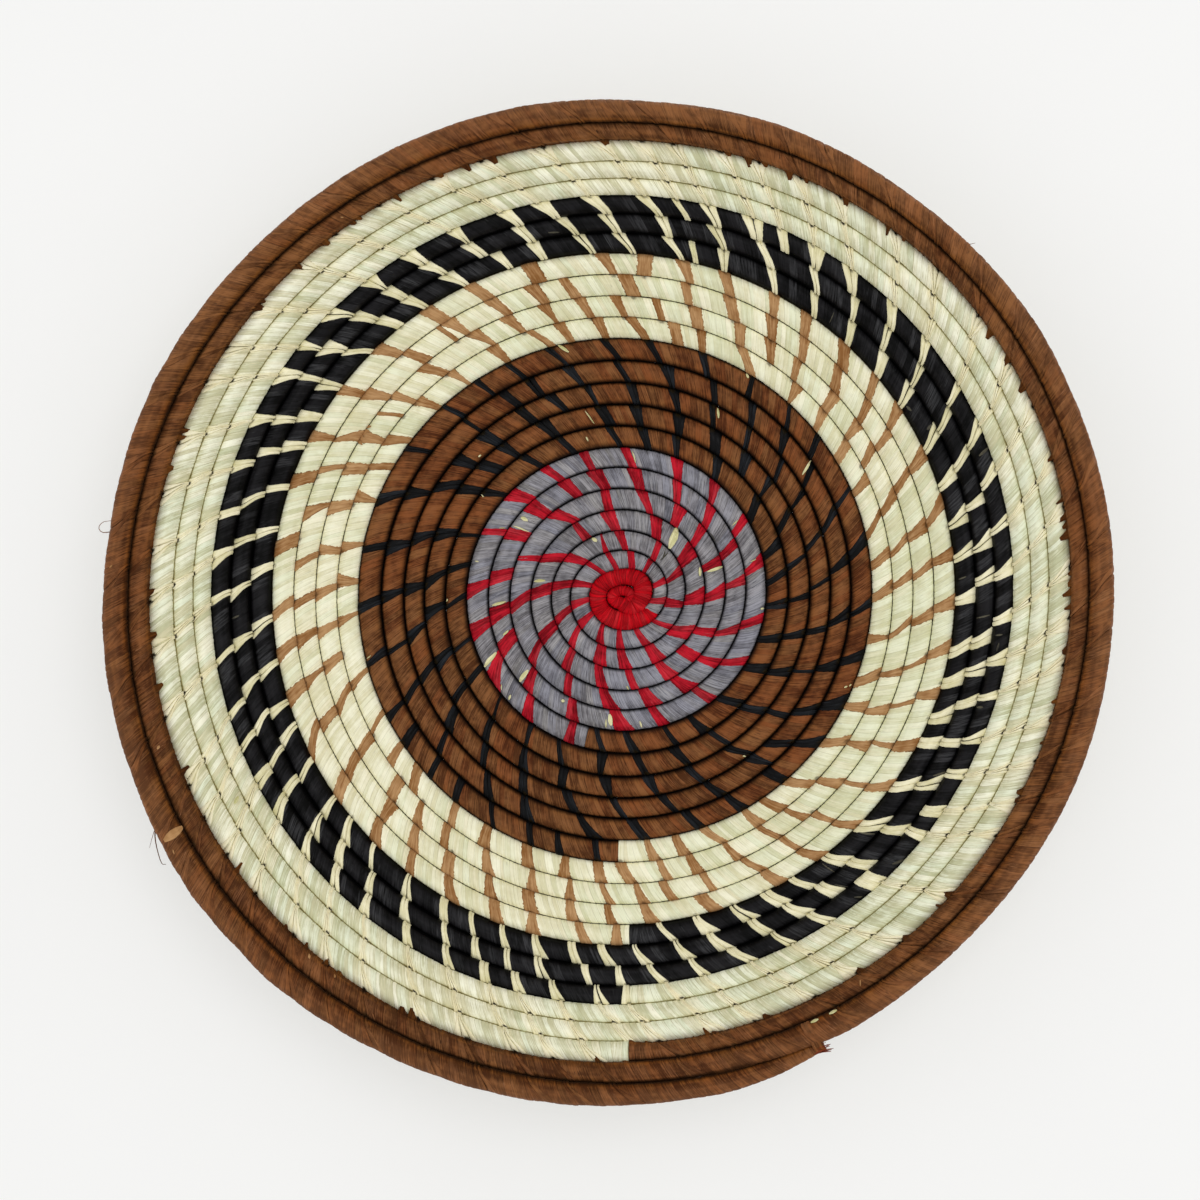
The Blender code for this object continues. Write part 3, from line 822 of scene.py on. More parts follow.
TORN = {
    # stitches: strands, share that fork, how far these open, seed, overlap of the strands
    "red": (2, 0.25, 1.06, 1, 1.35), "black": (2, 0.1, 1.3, 2, 1.35),
    "cream": (2, 0.3, 1.3, 3, 1.15), "pale": (3, 0.6, 1.3, 4, 1.05), "rim": (2, 0.4, 1.3, 5, 1.15),
}
RINGS = {name: strands(PLAN[name], *torn) for name, torn in TORN.items()}
RINGS["tan"] = PLAN["tan"]
print("strands:", sum(map(len, RINGS.values())))

# %% Tie the stitches
RING = np.radians([0, 18, 38, 62, 90, 118, 139, 154, 170, 222, 270, 318, 360])
SECTION = np.array([(-0.5, 0.0), (-0.36, 1.0), (0.0, 1.35), (0.36, 1.0), (0.5, 0.0), (-0.5, 0.0)])
STATIONS, CORNERS = len(RING) - 1, len(SECTION) - 1
SUNK, UNEVEN_LIFT = 0.00006, 0.00008
BEND = 0.03  # how far a stitch bends aside, as a share of its slant
WIDENS = (0.2, 0.8)  # the part of the way across the row where a stitch changes its width


def stitches(name, plan, thickness, thinnest, seed=0):
    """Rings tied round the rows: one piece with a ring for each line of the plan."""
    dice = np.random.RandomState(seed)
    turns, slants, inner, outer = plan.T
    lifts = dice.uniform(0.0, UNEVEN_LIFT, len(plan))

    def spot(x, y, copy):
        around = RING[nth(x, STATIONS) % STATIONS]
        side = across(turns[copy], around)
        share = ((side + 1) / 2 - WIDENS[0]) / (WIDENS[1] - WIDENS[0])
        width = np.maximum(inner[copy] + (outer - inner)[copy] * share, thinnest * degree)
        sideways, high = SECTION[nth(y, CORNERS)].T
        middle = turns[copy] + slants[copy] * (side / 2 + BEND * np.sin(math.pi * side))
        return np.clip(middle + width * sideways, 0.02, TURNS), around, high

    def place(x, y, copy):
        turn, around, high = spot(x, y, copy)
        return on_row(turn, around, thickness * high - SUNK + lifts[copy])

    def label(x, y, copy):
        strip = copy + 0.5 + 0.96 * SECTION[nth(y, CORNERS), 0]
        return np.stack([strip, RING[nth(x, STATIONS)] / math.tau], -1)

    def marks(x, y, copy):
        turn, around, high = spot(x, y, copy)
        found = {"pressed": pressed(turn, around), "bitten": bitten(turn, around)}
        return {**no_marks(x, y, copy), **found}

    return mould(name, chart(STATIONS, CORNERS, len(plan)), place, label, marks)


TIES = {
    # stitches: thickness in hundredths of a millimetre, least width in degrees
    "red": (22, 0.9), "black": (30, 0.7), "tan": (22, 1.0), "cream": (26, 0.35),
    "pale": (34, 0.2), "rim": (22, 0.35),
}
ties = {
    name: stitches(name + "_stitches", RINGS[name], HUNDREDTH * thickness, thinnest)
    for name, (thickness, thinnest) in TIES.items()
}

# %% [markdown]
# ## The bundle of stems inside
# One bundle runs through all the wraps. Nobody sees it in the whole basket, but the model can
# be cut or taken apart, so it has the bundle's fluted form: twelve flutes, like stems side by
# side, drawn along the same coil.

# %% Bundle of stems
FLUTES = 12
FLUTED = (0.93, 0.05)  # mean radius and depth of the flutes, as shares of the bundle's radius
BUNDLE_STEP = 0.0042
THINNER_IN_KNOT = 0.00035


def bundle():
    """The fluted bundle from one thin end of the coil to the other."""
    first, last = CORE_SHORT_OF_ENDS, TURNS - CORE_SHORT_OF_ENDS
    start, end = np.interp((first, last), COIL[:, TURN], LAID)
    count = int((end - start) / BUNDLE_STEP)
    turns = np.interp(np.linspace(start, end, count + 1), LAID, COIL[:, TURN])
    out, height, radius, slope = coil_at(turns, OUT, HEIGHT, RADIUS, SLOPE)
    angle = bearing(turns)
    out = out + hand_drift(out, angle)
    in_knot = turns < SPAN["centre_knot"][1]
    in_ring = [np.interp(turns, KNOT_TURN, line) - axis for line, axis in zip(KNOT_LINE, AXIS)]
    out = np.where(in_knot, np.hypot(*in_ring), out)
    window = np.hanning(9) / np.hanning(9).sum()
    out = np.convolve(np.pad(out, 4, mode="edge"), window, mode="valid")
    thick = radius - BUNDLE_CLEARANCE - WRAP_THICKNESS - THINNER_IN_KNOT * in_knot

    def place(x, y, copy):
        k = nth(x, count)
        around = math.tau * y
        fluted = thick[k] * (FLUTED[0] + FLUTED[1] * np.cos(FLUTES * around))
        side, up = -np.cos(around) * fluted, np.sin(around) * fluted
        far = out[k] + side * np.cos(slope[k]) - up * np.sin(slope[k])
        high = height[k] + side * np.sin(slope[k]) + up * np.cos(slope[k])
        return from_axis(far, angle[k], high)

    def label(x, y, copy):
        return np.stack([FLUTES * y, x * (end - start) * 100], -1)

    piece = mould("grass_stems", chart(count, 2 * FLUTES), place, label)
    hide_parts("grass_core")
    return piece


stems = bundle()

# %% [markdown]
# ## Loose bits of leaf
# A basket made by hand isn't clean: bits of undyed leaf show in the grey and the brown, ends of
# the stitching strip are tucked under, and a few fibres stand out from the rim. A measuring
# program found most of them as spots of another colour on the photograph, and the others were
# read off. A scatter would be quicker, but these marks make this basket this one. Each
# bit is a small blade with three edges, laid on the skin of its row.
# Grey bits on the black rows are painted highlights, standing in for glints of sheen.

# %% Blades on the rows
def bit_table(text):
    """Turn, place across the row, heading, length and width of each bit, from short words."""
    return words(text) / (1000, 50, 180 / math.pi, 10000, 10000) - (0, 1, 0, 0, 0)


BLADE_CORNERS = np.array([-0.5, 0.0, 0.5])  # across the blade: two edges and the ridge
BLADE_TIPS = 0.4  # a blade's ends, as a share of its width
ON_CRESTS = 0.09  # a broad bit lies on the crests of the strips, a share of its width higher


def blades(name, table, lift, thickness):
    """Small pointed bits of leaf on the rows, one for each line of the table."""
    turns, sides, headings, longs, wides = table.T
    outs, radii = coil_at(turns, OUT, RADIUS)

    def place(x, y, copy):
        corner = nth(y, 3) % 3
        narrowing = BLADE_TIPS + (1 - BLADE_TIPS) * np.sin(math.pi * x)
        width = wides[copy] * BLADE_CORNERS[corner] * narrowing
        length, c, s = longs[copy] * (x - 0.5), np.cos(headings[copy]), np.sin(headings[copy])
        turn = turns[copy] + (length * c - width * s) / (math.tau * outs[copy])
        side = sides[copy] + (length * s + width * c) / radii[copy]
        above = lift + ON_CRESTS * wides[copy] + thickness * (corner == 1)
        return on_row(turn, around_at(turn, side), above)

    def label(x, y, copy):
        return np.stack([copy + 0.5 + 0.48 * np.cos(math.tau * y), 0.2 + 0.2 * x], -1)

    # a flat bit has sharp edges, and smooth shading would leave dark spots between them
    return mould(name, chart(4, 3, len(table)), place, label, smooth=False)


STRAW_BITS = """
3302/56/60/54/21
6747/55/57/45/13 5785/62/70/33/14 4217/61/86/37/9 3644/64/69/26/10 5684/51/72/31/9
5913/51/70/25/14 5565/64/68/17/12 2488/78/49/17/11 3220/83/12/23/8 5578/52/71/37/5
5908/68/84/20/5 6406/56/60/30/4 5724/44/50/17/6 6793/73/59/14/7 5951/70/80/16/6
5846/37/175/11/8 6160/83/66/9/6 6263/43/74/18/4 6779/72/32/17/3 3939/83/70/11/5
6215/53/77/14/3 6636/68/81/9/4 6590/31/51/16/3 11458/73/41/37/9 10269/64/62/43/8
8449/51/58/41/4 9344/70/52/28/7 11339/83/32/14/7 7455/53/67/11/5 9548/25/4/10/5
9030/81/43/9/5 11114/63/39/10/5 11712/73/63/14/3 11116/79/19/9/4 7573/82/98/11/4
7678/86/21/8/4 16389/62/65/44/14 20752/30/50/24/12 22996/8/0/26/7 23003/8/0/26/7
"""
TAN_BITS = """
23752/42/80/62/28 22812/21/43/14/7 22724/59/44/12/8 23757/75/13/14/4 22823/20/41/11/6
23663/80/47/12/5 22521/52/49/10/4 22016/54/118/20/5 13583/92/20/30/11 13581/88/75/26/10
13585/93/140/28/10 13588/84/100/22/9 13579/95/50/24/9
"""
# painted highlights: grey glints of sheen on the black rows, and dark marks in the grey rows
GLINT_AND_SMUDGE_BITS = """
18234/66/71/40/9 17095/68/47/43/7 16030/58/73/47/5 17166/42/73/42/5 18154/38/7/27/7
17682/70/72/27/6 16054/53/53/50/6 17450/22/7/33/5 18159/36/76/23/6 16265/28/169/21/7
16253/69/73/23/10 17030/70/52/44/4 18055/79/31/40/9 16183/32/70/23/5 18128/22/69/19/7
16123/71/39/49/3 18033/72/40/26/6 16319/47/75/31/3 18551/68/50/40/4 17069/75/40/32/3
18686/78/73/17/5 2287/60/85/28/4 2292/66/60/20/4 5263/14/0/30/3
"""
BITS = {
    # bits: their table, lift and thickness in hundredths of a millimetre
    "straw": (STRAW_BITS, 26, 14), "tan": (TAN_BITS, 22, 14), "glint_and_smudge": (GLINT_AND_SMUDGE_BITS, 4, 8),
}
bits = {
    name: blades(name + "_bits", bit_table(table), HUNDREDTH * lift, HUNDREDTH * thickness)
    for name, (table, lift, thickness) in BITS.items()
}

# %% [markdown]
# ## The coil's end and the stray fibres
# The thin end of the coil is bound to the row inside it by a few turns of the strip, and its
# fibres stick out as a small tuft. The binding encloses two rows, so its section is the band
# round two circles: of the two rows, each point takes the one that reaches farther that way.

# %% Binding round the coil's end
BINDING_PAST_END, BINDING_SLANT = 0.0008, 0.0007  # in turns
BINDING_RELIEF, BINDING_UNEVEN, BINDING_THICKNESS = 0.00009, 0.00006, 0.00022


def end_binding(strips=3, span=0.0032, seed=21):
    """Strips wound round the thin end of the coil and the row inside it."""
    dice = np.random.RandomState(seed)
    count = 4 * strips
    profile = np.append(np.tile(STRIP_PROFILE, strips), -1.0) * BINDING_RELIEF
    levels = np.repeat(dice.normal(0.0, BINDING_UNEVEN, strips + 1), 4)[: count + 1]

    def place(x, y, copy):
        k = nth(x, count)
        way = math.tau * y
        turn = TURNS + BINDING_PAST_END - span * (1 - x) + BINDING_SLANT * np.cos(way)
        reaches, spots = [], []
        for row in (turn, turn - 1.0):
            out, high, radius = coil_at(row, OUT, HEIGHT, RADIUS)
            out = out + hand_drift(out, bearing(row))
            thick = radius + BINDING_THICKNESS + profile[k] + levels[k]
            reaches.append(out * np.cos(way) + high * np.sin(way) + thick)
            spots.append((out + thick * np.cos(way), high + thick * np.sin(way)))
        out, high = np.where(reaches[0] > reaches[1], spots[0], spots[1])
        return from_axis(out, bearing(turn), high)

    def label(x, y, copy):
        return np.stack([np.minimum(x * strips, strips - 1e-4), y], -1)

    return mould("end_binding", chart(count, SIDES), place, label)


binding = end_binding()

# %% Fibres that stand out
FIBRE_TAPER = 0.7  # how much thinner a fibre is at its far end


def smooth_line(points, count):
    """A smooth line through the points, as count places on it."""
    points = np.array(points, float)
    p = np.vstack([2 * points[0] - points[1], points, 2 * points[-1] - points[-2]])
    t = np.linspace(0, len(points) - 1, count)
    k = np.minimum(t.astype(int), len(points) - 2)
    s = (t - k)[:, None]
    a, b, c, d = p[k], p[k + 1], p[k + 2], p[k + 3]
    squared, cubed = 2 * a - 5 * b + 4 * c - d, 3 * b - a - 3 * c + d
    return (2 * b + (c - a) * s + squared * s**2 + cubed * s**3) / 2


def fibres(name, lines, count=14):
    """Thin tapering fibres: each line is its thickness and the points it goes through, in mm."""
    paths = np.array([smooth_line(points, count) for thickness, points in lines]) / 1000
    thick = np.array([thickness for thickness, points in lines]) / 1000

    def place(x, y, copy):
        k = nth(x, count - 1)
        way = np.gradient(paths, axis=1)[copy, k]
        side = np.stack([-way[:, 1], way[:, 0], 0 * way[:, 0]], -1)
        side /= np.linalg.norm(side, axis=1)[:, None] + 1e-9
        c, s = np.cos(math.tau * y)[:, None], np.sin(math.tau * y)[:, None]
        size = (thick[copy] / 2 * (1 - FIBRE_TAPER * x))[:, None]
        return paths[copy, k] + size * (side * c + np.array([0.0, 0.0, 1.0]) * s)

    def label(x, y, copy):
        return np.stack([copy + 0.5 + 0.4 * np.cos(math.tau * y), x], -1)

    return mould(name, chart(count - 1, 3, len(lines)), place, label)


def tuft(count=11, seed=22):
    """Short fibres that fan out of the coil's end."""
    dice = np.random.RandomState(seed)
    along = np.array([-math.sin(START_ANGLE), math.cos(START_ANGLE), 0.0])
    outwards = np.array([math.cos(START_ANGLE), math.sin(START_ANGLE), 0.0])
    lines = []
    for fibre in range(count):
        root = 1000 * on_row(TURNS - 0.003, dice.uniform(1.2, 3.0), -0.0004)
        far = root + dice.uniform(4.2, 6.2) * along + dice.uniform(-0.2, 2.2) * outwards
        far[2] += dice.uniform(-0.8, 0.6)
        middle = (root + far) / 2 + dice.normal(0.0, 0.35, 3)
        lines.append((dice.uniform(0.5, 0.9), [root, middle, far]))
    return lines


LOOSE = [
    # thickness, points the fibre goes through
    (0.42, [(-147.6, 20.8, 40), (-149.6, 20.3, 40), (-151.9, 20.2, 40), (-152.9, 21.6, 40),
            (-151.6, 23.2, 40), (-149.4, 23.6, 40), (-147.4, 24.2, 41)]),
    (0.60, [(-134.6, -66.8, 42), (-136.0, -69.6, 41), (-136.0, -73.8, 40), (-134.6, -79.6, 39),
            (-133.1, -80.1, 39)]),
    (0.34, [(-134.8, -67.0, 42), (-136.0, -69.0, 41), (-137.2, -72.2, 40), (-138.2, -75.2, 39)]),
    (0.40, [(105.2, 104.2, 40), (107.2, 105.1, 40), (109.1, 105.6, 40)]),
]
bits["tuft"] = fibres("end_tuft", tuft())
bits["loose"] = fibres("loose_fibres", LOOSE)

# %% [markdown]
# ## How raffia looks
# Raffia is a dry, dyed leaf: a satin strip with fine fibres along it, each strip a little
# lighter or darker than the next, with blotches where the dye took less. All wraps and
# stitches share that pattern, so it is a node group that reads the piece's own UV map: the
# whole part of U is the strip's number, the rest its width, and V goes round the row.

# %% Node helpers
def linear(red, green, blue):
    """A colour given from 0 to 255 as the linear values that shaders take."""
    shares = np.array((red, green, blue)) / 255
    values = np.where(shares <= 0.04045, shares / 12.92, ((shares + 0.055) / 1.055) ** 2.4)
    return (*(float(value) for value in values), 1.0)


def add(tree, kind, inputs=(), **settings):
    """A node with its settings; an input is linked if it is given a socket."""
    made = tree.nodes.new(kind)
    for name, value in settings.items():
        setattr(made, name, value)
    for name, value in dict(inputs).items():
        if isinstance(value, bpy.types.NodeSocket):
            tree.links.new(value, made.inputs[name])
        else:
            made.inputs[name].default_value = value
    return made


def calc(tree, operation, *values, clamp=False):
    """The value of a Math node."""
    settings = {"operation": operation, "use_clamp": clamp}
    return add(tree, "ShaderNodeMath", enumerate(values), **settings).outputs[0]


def ramp(tree, value, low, high, to_low=0.0, to_high=1.0):
    """The value of a smooth Map Range node."""
    inputs = enumerate((value, low, high, to_low, to_high))
    return add(tree, "ShaderNodeMapRange", inputs, interpolation_type="SMOOTHSTEP").outputs[0]


def blend_colour(tree, share, first, second, how="MIX"):
    """The colour of a Mix node."""
    inputs = {0: share, 6: first, 7: second}
    return add(tree, "ShaderNodeMix", inputs, data_type="RGBA", blend_type=how).outputs[2]


def start_group(name, inputs, outputs):
    """A node group with its sockets, its input node and its output node."""
    group = bpy.data.node_groups.new(name, "ShaderNodeTree")
    for label, kind, value in inputs:
        socket = group.interface.new_socket(label, in_out="INPUT", socket_type=kind)
        socket.default_value = value
    for label, kind in outputs:
        group.interface.new_socket(label, in_out="OUTPUT", socket_type=kind)
    given, out = group.nodes.new("NodeGroupInput"), group.nodes.new("NodeGroupOutput")
    return group, given.outputs, out.inputs


def start_material(name):
    """A material with its node tree and its shader's inputs."""
    material = bpy.data.materials.new(name)
    material.use_nodes = True
    return material, material.node_tree, material.node_tree.nodes["Principled BSDF"].inputs


print("helpers ready")

# %% Strand pattern
FLOAT, COLOUR = "NodeSocketFloat", "NodeSocketColor"
USUAL = {  # what a dye has if its material says nothing else
    "Strip Contrast": 0.5, "Fibre Contrast": 0.5, "Blotch Contrast": 0.5, "Fibres": 5.0,
    "Bleach": 0.3, "Tie Tint": 0.0, "Tint Share": 1.0, "Groove": 0.4, "Outer Start": 0.9,
    "Outer End": 0.99, "Inner Start": 0.85, "Inner End": 0.99, "Slits": 0.2, "Holes": 0.6,
    "Free Side": 0.0, "Warm Side": 0.0, "Ribs": 0.25, "Glints": 0.5, "Dark Lot": 0.0,
}


def strand_group():
    """Colour and height of dyed raffia strips, with painted shade and highlights."""
    colours = ("Dark", "Light", "Bleached And Highlight", "Tied", "Tint", "Crevice Shade")
    inputs = [(label, COLOUR, (0.5, 0.5, 0.5, 1.0)) for label in colours]
    inputs += [(label, FLOAT, value) for label, value in USUAL.items()]
    outputs = [("Color", COLOUR), ("Height", FLOAT), ("Wear", FLOAT)]
    group, given, out = start_group("raffia_strands", inputs, outputs)

    def times(first, second):
        return calc(group, "MULTIPLY", first, second)

    def plus(first, second):
        return calc(group, "ADD", first, second)

    def minus(first, second):
        return calc(group, "SUBTRACT", first, second)

    def grow(value, *ends):
        return ramp(group, value, *ends)

    def place(x, y, z=0.0):
        return add(group, "ShaderNodeCombineXYZ", {0: x, 1: y, 2: z}).outputs[0]

    def noise(vector, scale, detail, roughness=0.6):
        inputs = {"Vector": vector, "Scale": scale, "Detail": detail, "Roughness": roughness}
        return add(group, "ShaderNodeTexNoise", inputs).outputs[0]

    def stretched(across_scale, along_scale, shift=0.0):
        return place(times(u, across_scale), times(v, along_scale), plus(strip, shift))

    def chance(shift):
        inputs = {"W": plus(strip, shift)}
        return add(group, "ShaderNodeTexWhiteNoise", inputs, noise_dimensions="1D").outputs[0]

    def mark(name):
        return add(group, "ShaderNodeAttribute", attribute_name=name).outputs["Fac"]

    def tinted(share, new, how="MIX"):
        return blend_colour(group, share, colour, new, how)

    uv = add(group, "ShaderNodeUVMap", uv_map=UV).outputs[0]
    u, v = add(group, "ShaderNodeSeparateXYZ", {0: uv}).outputs[:2]
    strip = calc(group, "FLOOR", u)
    position = add(group, "ShaderNodeTexCoord").outputs["Object"]
    x, y = add(group, "ShaderNodeSeparateXYZ", {0: position}).outputs[:2]
    fibre = noise(stretched(given["Fibres"], 3.2), 1.0, 3.0, 0.7)
    fine = noise(stretched(times(given["Fibres"], 2.3), 4.0, 0.7), 1.0, 1.0)
    streak = noise(stretched(1.5, 1.6, 0.5), 1.0, 1.0)
    # the stems inside make soft ribs along the row: a bump, with painted light and shade
    rib = noise(place(times(v, 11.0), times(strip, 0.08)), 1.0, 1.0)
    parts = (
        # pattern, how much it shows
        (chance(0.0), given["Strip Contrast"]), (rib, times(given["Ribs"], 2.0)),
        (fibre, times(given["Fibre Contrast"], 2.2)), (fine, times(given["Fibre Contrast"], 1.6)),
        (streak, times(given["Fibre Contrast"], 0.7)),
        (noise(position, 260.0, 2.0), times(given["Blotch Contrast"], 2.0)),
        (noise(position, 28.0, 2.0), 0.7),
    )
    shade = 0.5
    for value, contrast in parts:
        shade = plus(times(minus(value, 0.5), contrast), shade)
    # the colour is darker towards the bottom left
    lot = grow(plus(times(x, -0.5), times(y, -0.85)), 0.03, 0.13)
    shade = calc(group, "SUBTRACT", shade, times(lot, given["Dark Lot"]), clamp=True)
    colour = blend_colour(group, shade, given["Dark"], given["Light"])
    # whole stretches took the dye another way: redder, or greener in the undyed leaf
    mood = plus(noise(position, 17.0, 2.0), times(minus(chance(0.71), 0.5), 0.3))
    colour = tinted(times(grow(mood, 0.38, 0.64), given["Tint Share"]), given["Tint"], "MULTIPLY")
    # a few strips took less dye, and raffia near a stitch has another tint
    wear = times(times(grow(chance(0.37), 0.55, 1.0), given["Bleach"]), grow(fibre, 0.35, 0.65))
    # painted highlight: thin light glints along the fibres
    frayed = grow(noise(position, 210.0, 1.0), 0.5, 0.66)
    glint = times(times(grow(fine, 0.38, 0.30), frayed), given["Glints"])
    colour = tinted(calc(group, "MAXIMUM", wear, glint), given["Bleached And Highlight"])
    tint = times(times(mark("tied"), given["Tie Tint"]), grow(fibre, 0.3, 0.6))
    colour = tinted(tint, given["Tied"])
    # a strip's edge is a thin dark line, stronger on some strips than on others
    share = minus(u, strip)
    edge = calc(group, "MINIMUM", share, minus(1.0, share))
    uneven = grow(noise(stretched(0.7, 3.0, 0.2), 1.0, 1.0), 0.35, 0.7)
    groove = times(grow(edge, 0.0, 0.11, 1.0, 0.0), uneven)
    slit = times(grow(fine, 0.62, 0.72), grow(noise(position, 330.0, 1.0), 0.52, 0.66))
    lines = calc(group, "MAXIMUM", times(groove, given["Groove"]), times(slit, given["Slits"]))
    colour = tinted(lines, given["Crevice Shade"])
    # painted shade on the row's two sides, where neighbours press on it and little light comes
    # painted shade: the inner side, with less of the sky's bluish sheen, is made warmer
    side = calc(group, "COSINE", times(v, math.tau))
    warm = times(grow(side, -0.1, 0.7), given["Warm Side"])
    colour = tinted(warm, (1.0, 0.87, 0.42, 1.0), "MULTIPLY")
    inner = grow(side, given["Inner Start"], given["Inner End"])
    outward = times(side, -1.0)
    outer = grow(outward, given["Outer Start"], given["Outer End"])
    pressed_by = mark("pressed")
    # painted highlight: the outer side that nothing presses on is lightened
    free = times(grow(outward, -0.3, 0.9), minus(1.0, pressed_by))
    colour = tinted(times(free, given["Free Side"]), given["Bleached And Highlight"])
    # painted shade: darker towards the crevice shade colour where a neighbour presses
    crevice_shade = times(calc(group, "MAXIMUM", inner, outer), pressed_by)
    colour = tinted(crevice_shade, given["Crevice Shade"])
    # painted shade: a hole where a stitch of the next row bites in is painted dark
    hole = times(grow(mark("bitten"), 0.15, 0.75), given["Holes"])
    colour = tinted(hole, linear(40, 30, 10))
    height = minus(plus(times(fibre, 0.6), times(fine, 0.4)), times(groove, 0.5))
    height = plus(height, times(times(rib, given["Ribs"]), 8.0))
    for label, value in {"Color": colour, "Height": height, "Wear": shade}.items():
        group.links.new(value, out[label])
    return group


STRANDS = strand_group()
print("group:", STRANDS.name, len(STRANDS.nodes), "nodes")

# %% [markdown]
# ## One dye for each length
# The wraps and the stitches differ in dye, in how much the strips differ from each other, and
# in shine. The black dye is nearly matt, so that it stays black under a white sky.

# %% Raffia dyes
BUMP_DISTANCE = 0.0002
ROUGHER = 0.08  # the dark strips are this much rougher than the mean, and the light ones smoother


def raffia(name, dark, light, bleached_and_highlight, crevice_shade, roughness=0.62, specular=0.10, bump=0.4,
           sheen=0.0, tied=None, tint=(255, 255, 255), **values):
    """A material of dyed raffia. Colours are given from 0 to 255; values are the group's own."""
    material, tree, shader = start_material(name)
    look = add(tree, "ShaderNodeGroup", node_tree=STRANDS)
    colours = {
        "Dark": dark, "Light": light, "Bleached And Highlight": bleached_and_highlight, "Crevice Shade": crevice_shade,
        "Tied": tied or light, "Tint": tint,
    }
    for label, colour in colours.items():
        look.inputs[label].default_value = linear(*colour)
    for label, value in values.items():
        look.inputs[label.replace("_", " ").title()].default_value = value
    relief = {"Height": look.outputs["Height"], "Strength": bump, "Distance": BUMP_DISTANCE}
    worn = look.outputs["Wear"]
    rough = ramp(tree, worn, 0.0, 1.0, roughness + ROUGHER, roughness - ROUGHER)
    tree.links.new(look.outputs["Color"], shader["Base Color"])
    tree.links.new(rough, shader["Roughness"])
    tree.links.new(add(tree, "ShaderNodeBump", relief).outputs[0], shader["Normal"])
    shader["Sheen Weight"].default_value = sheen
    shader["Sheen Tint"].default_value = linear(*bleached_and_highlight)
    shader["Specular IOR Level"].default_value = specular
    return material


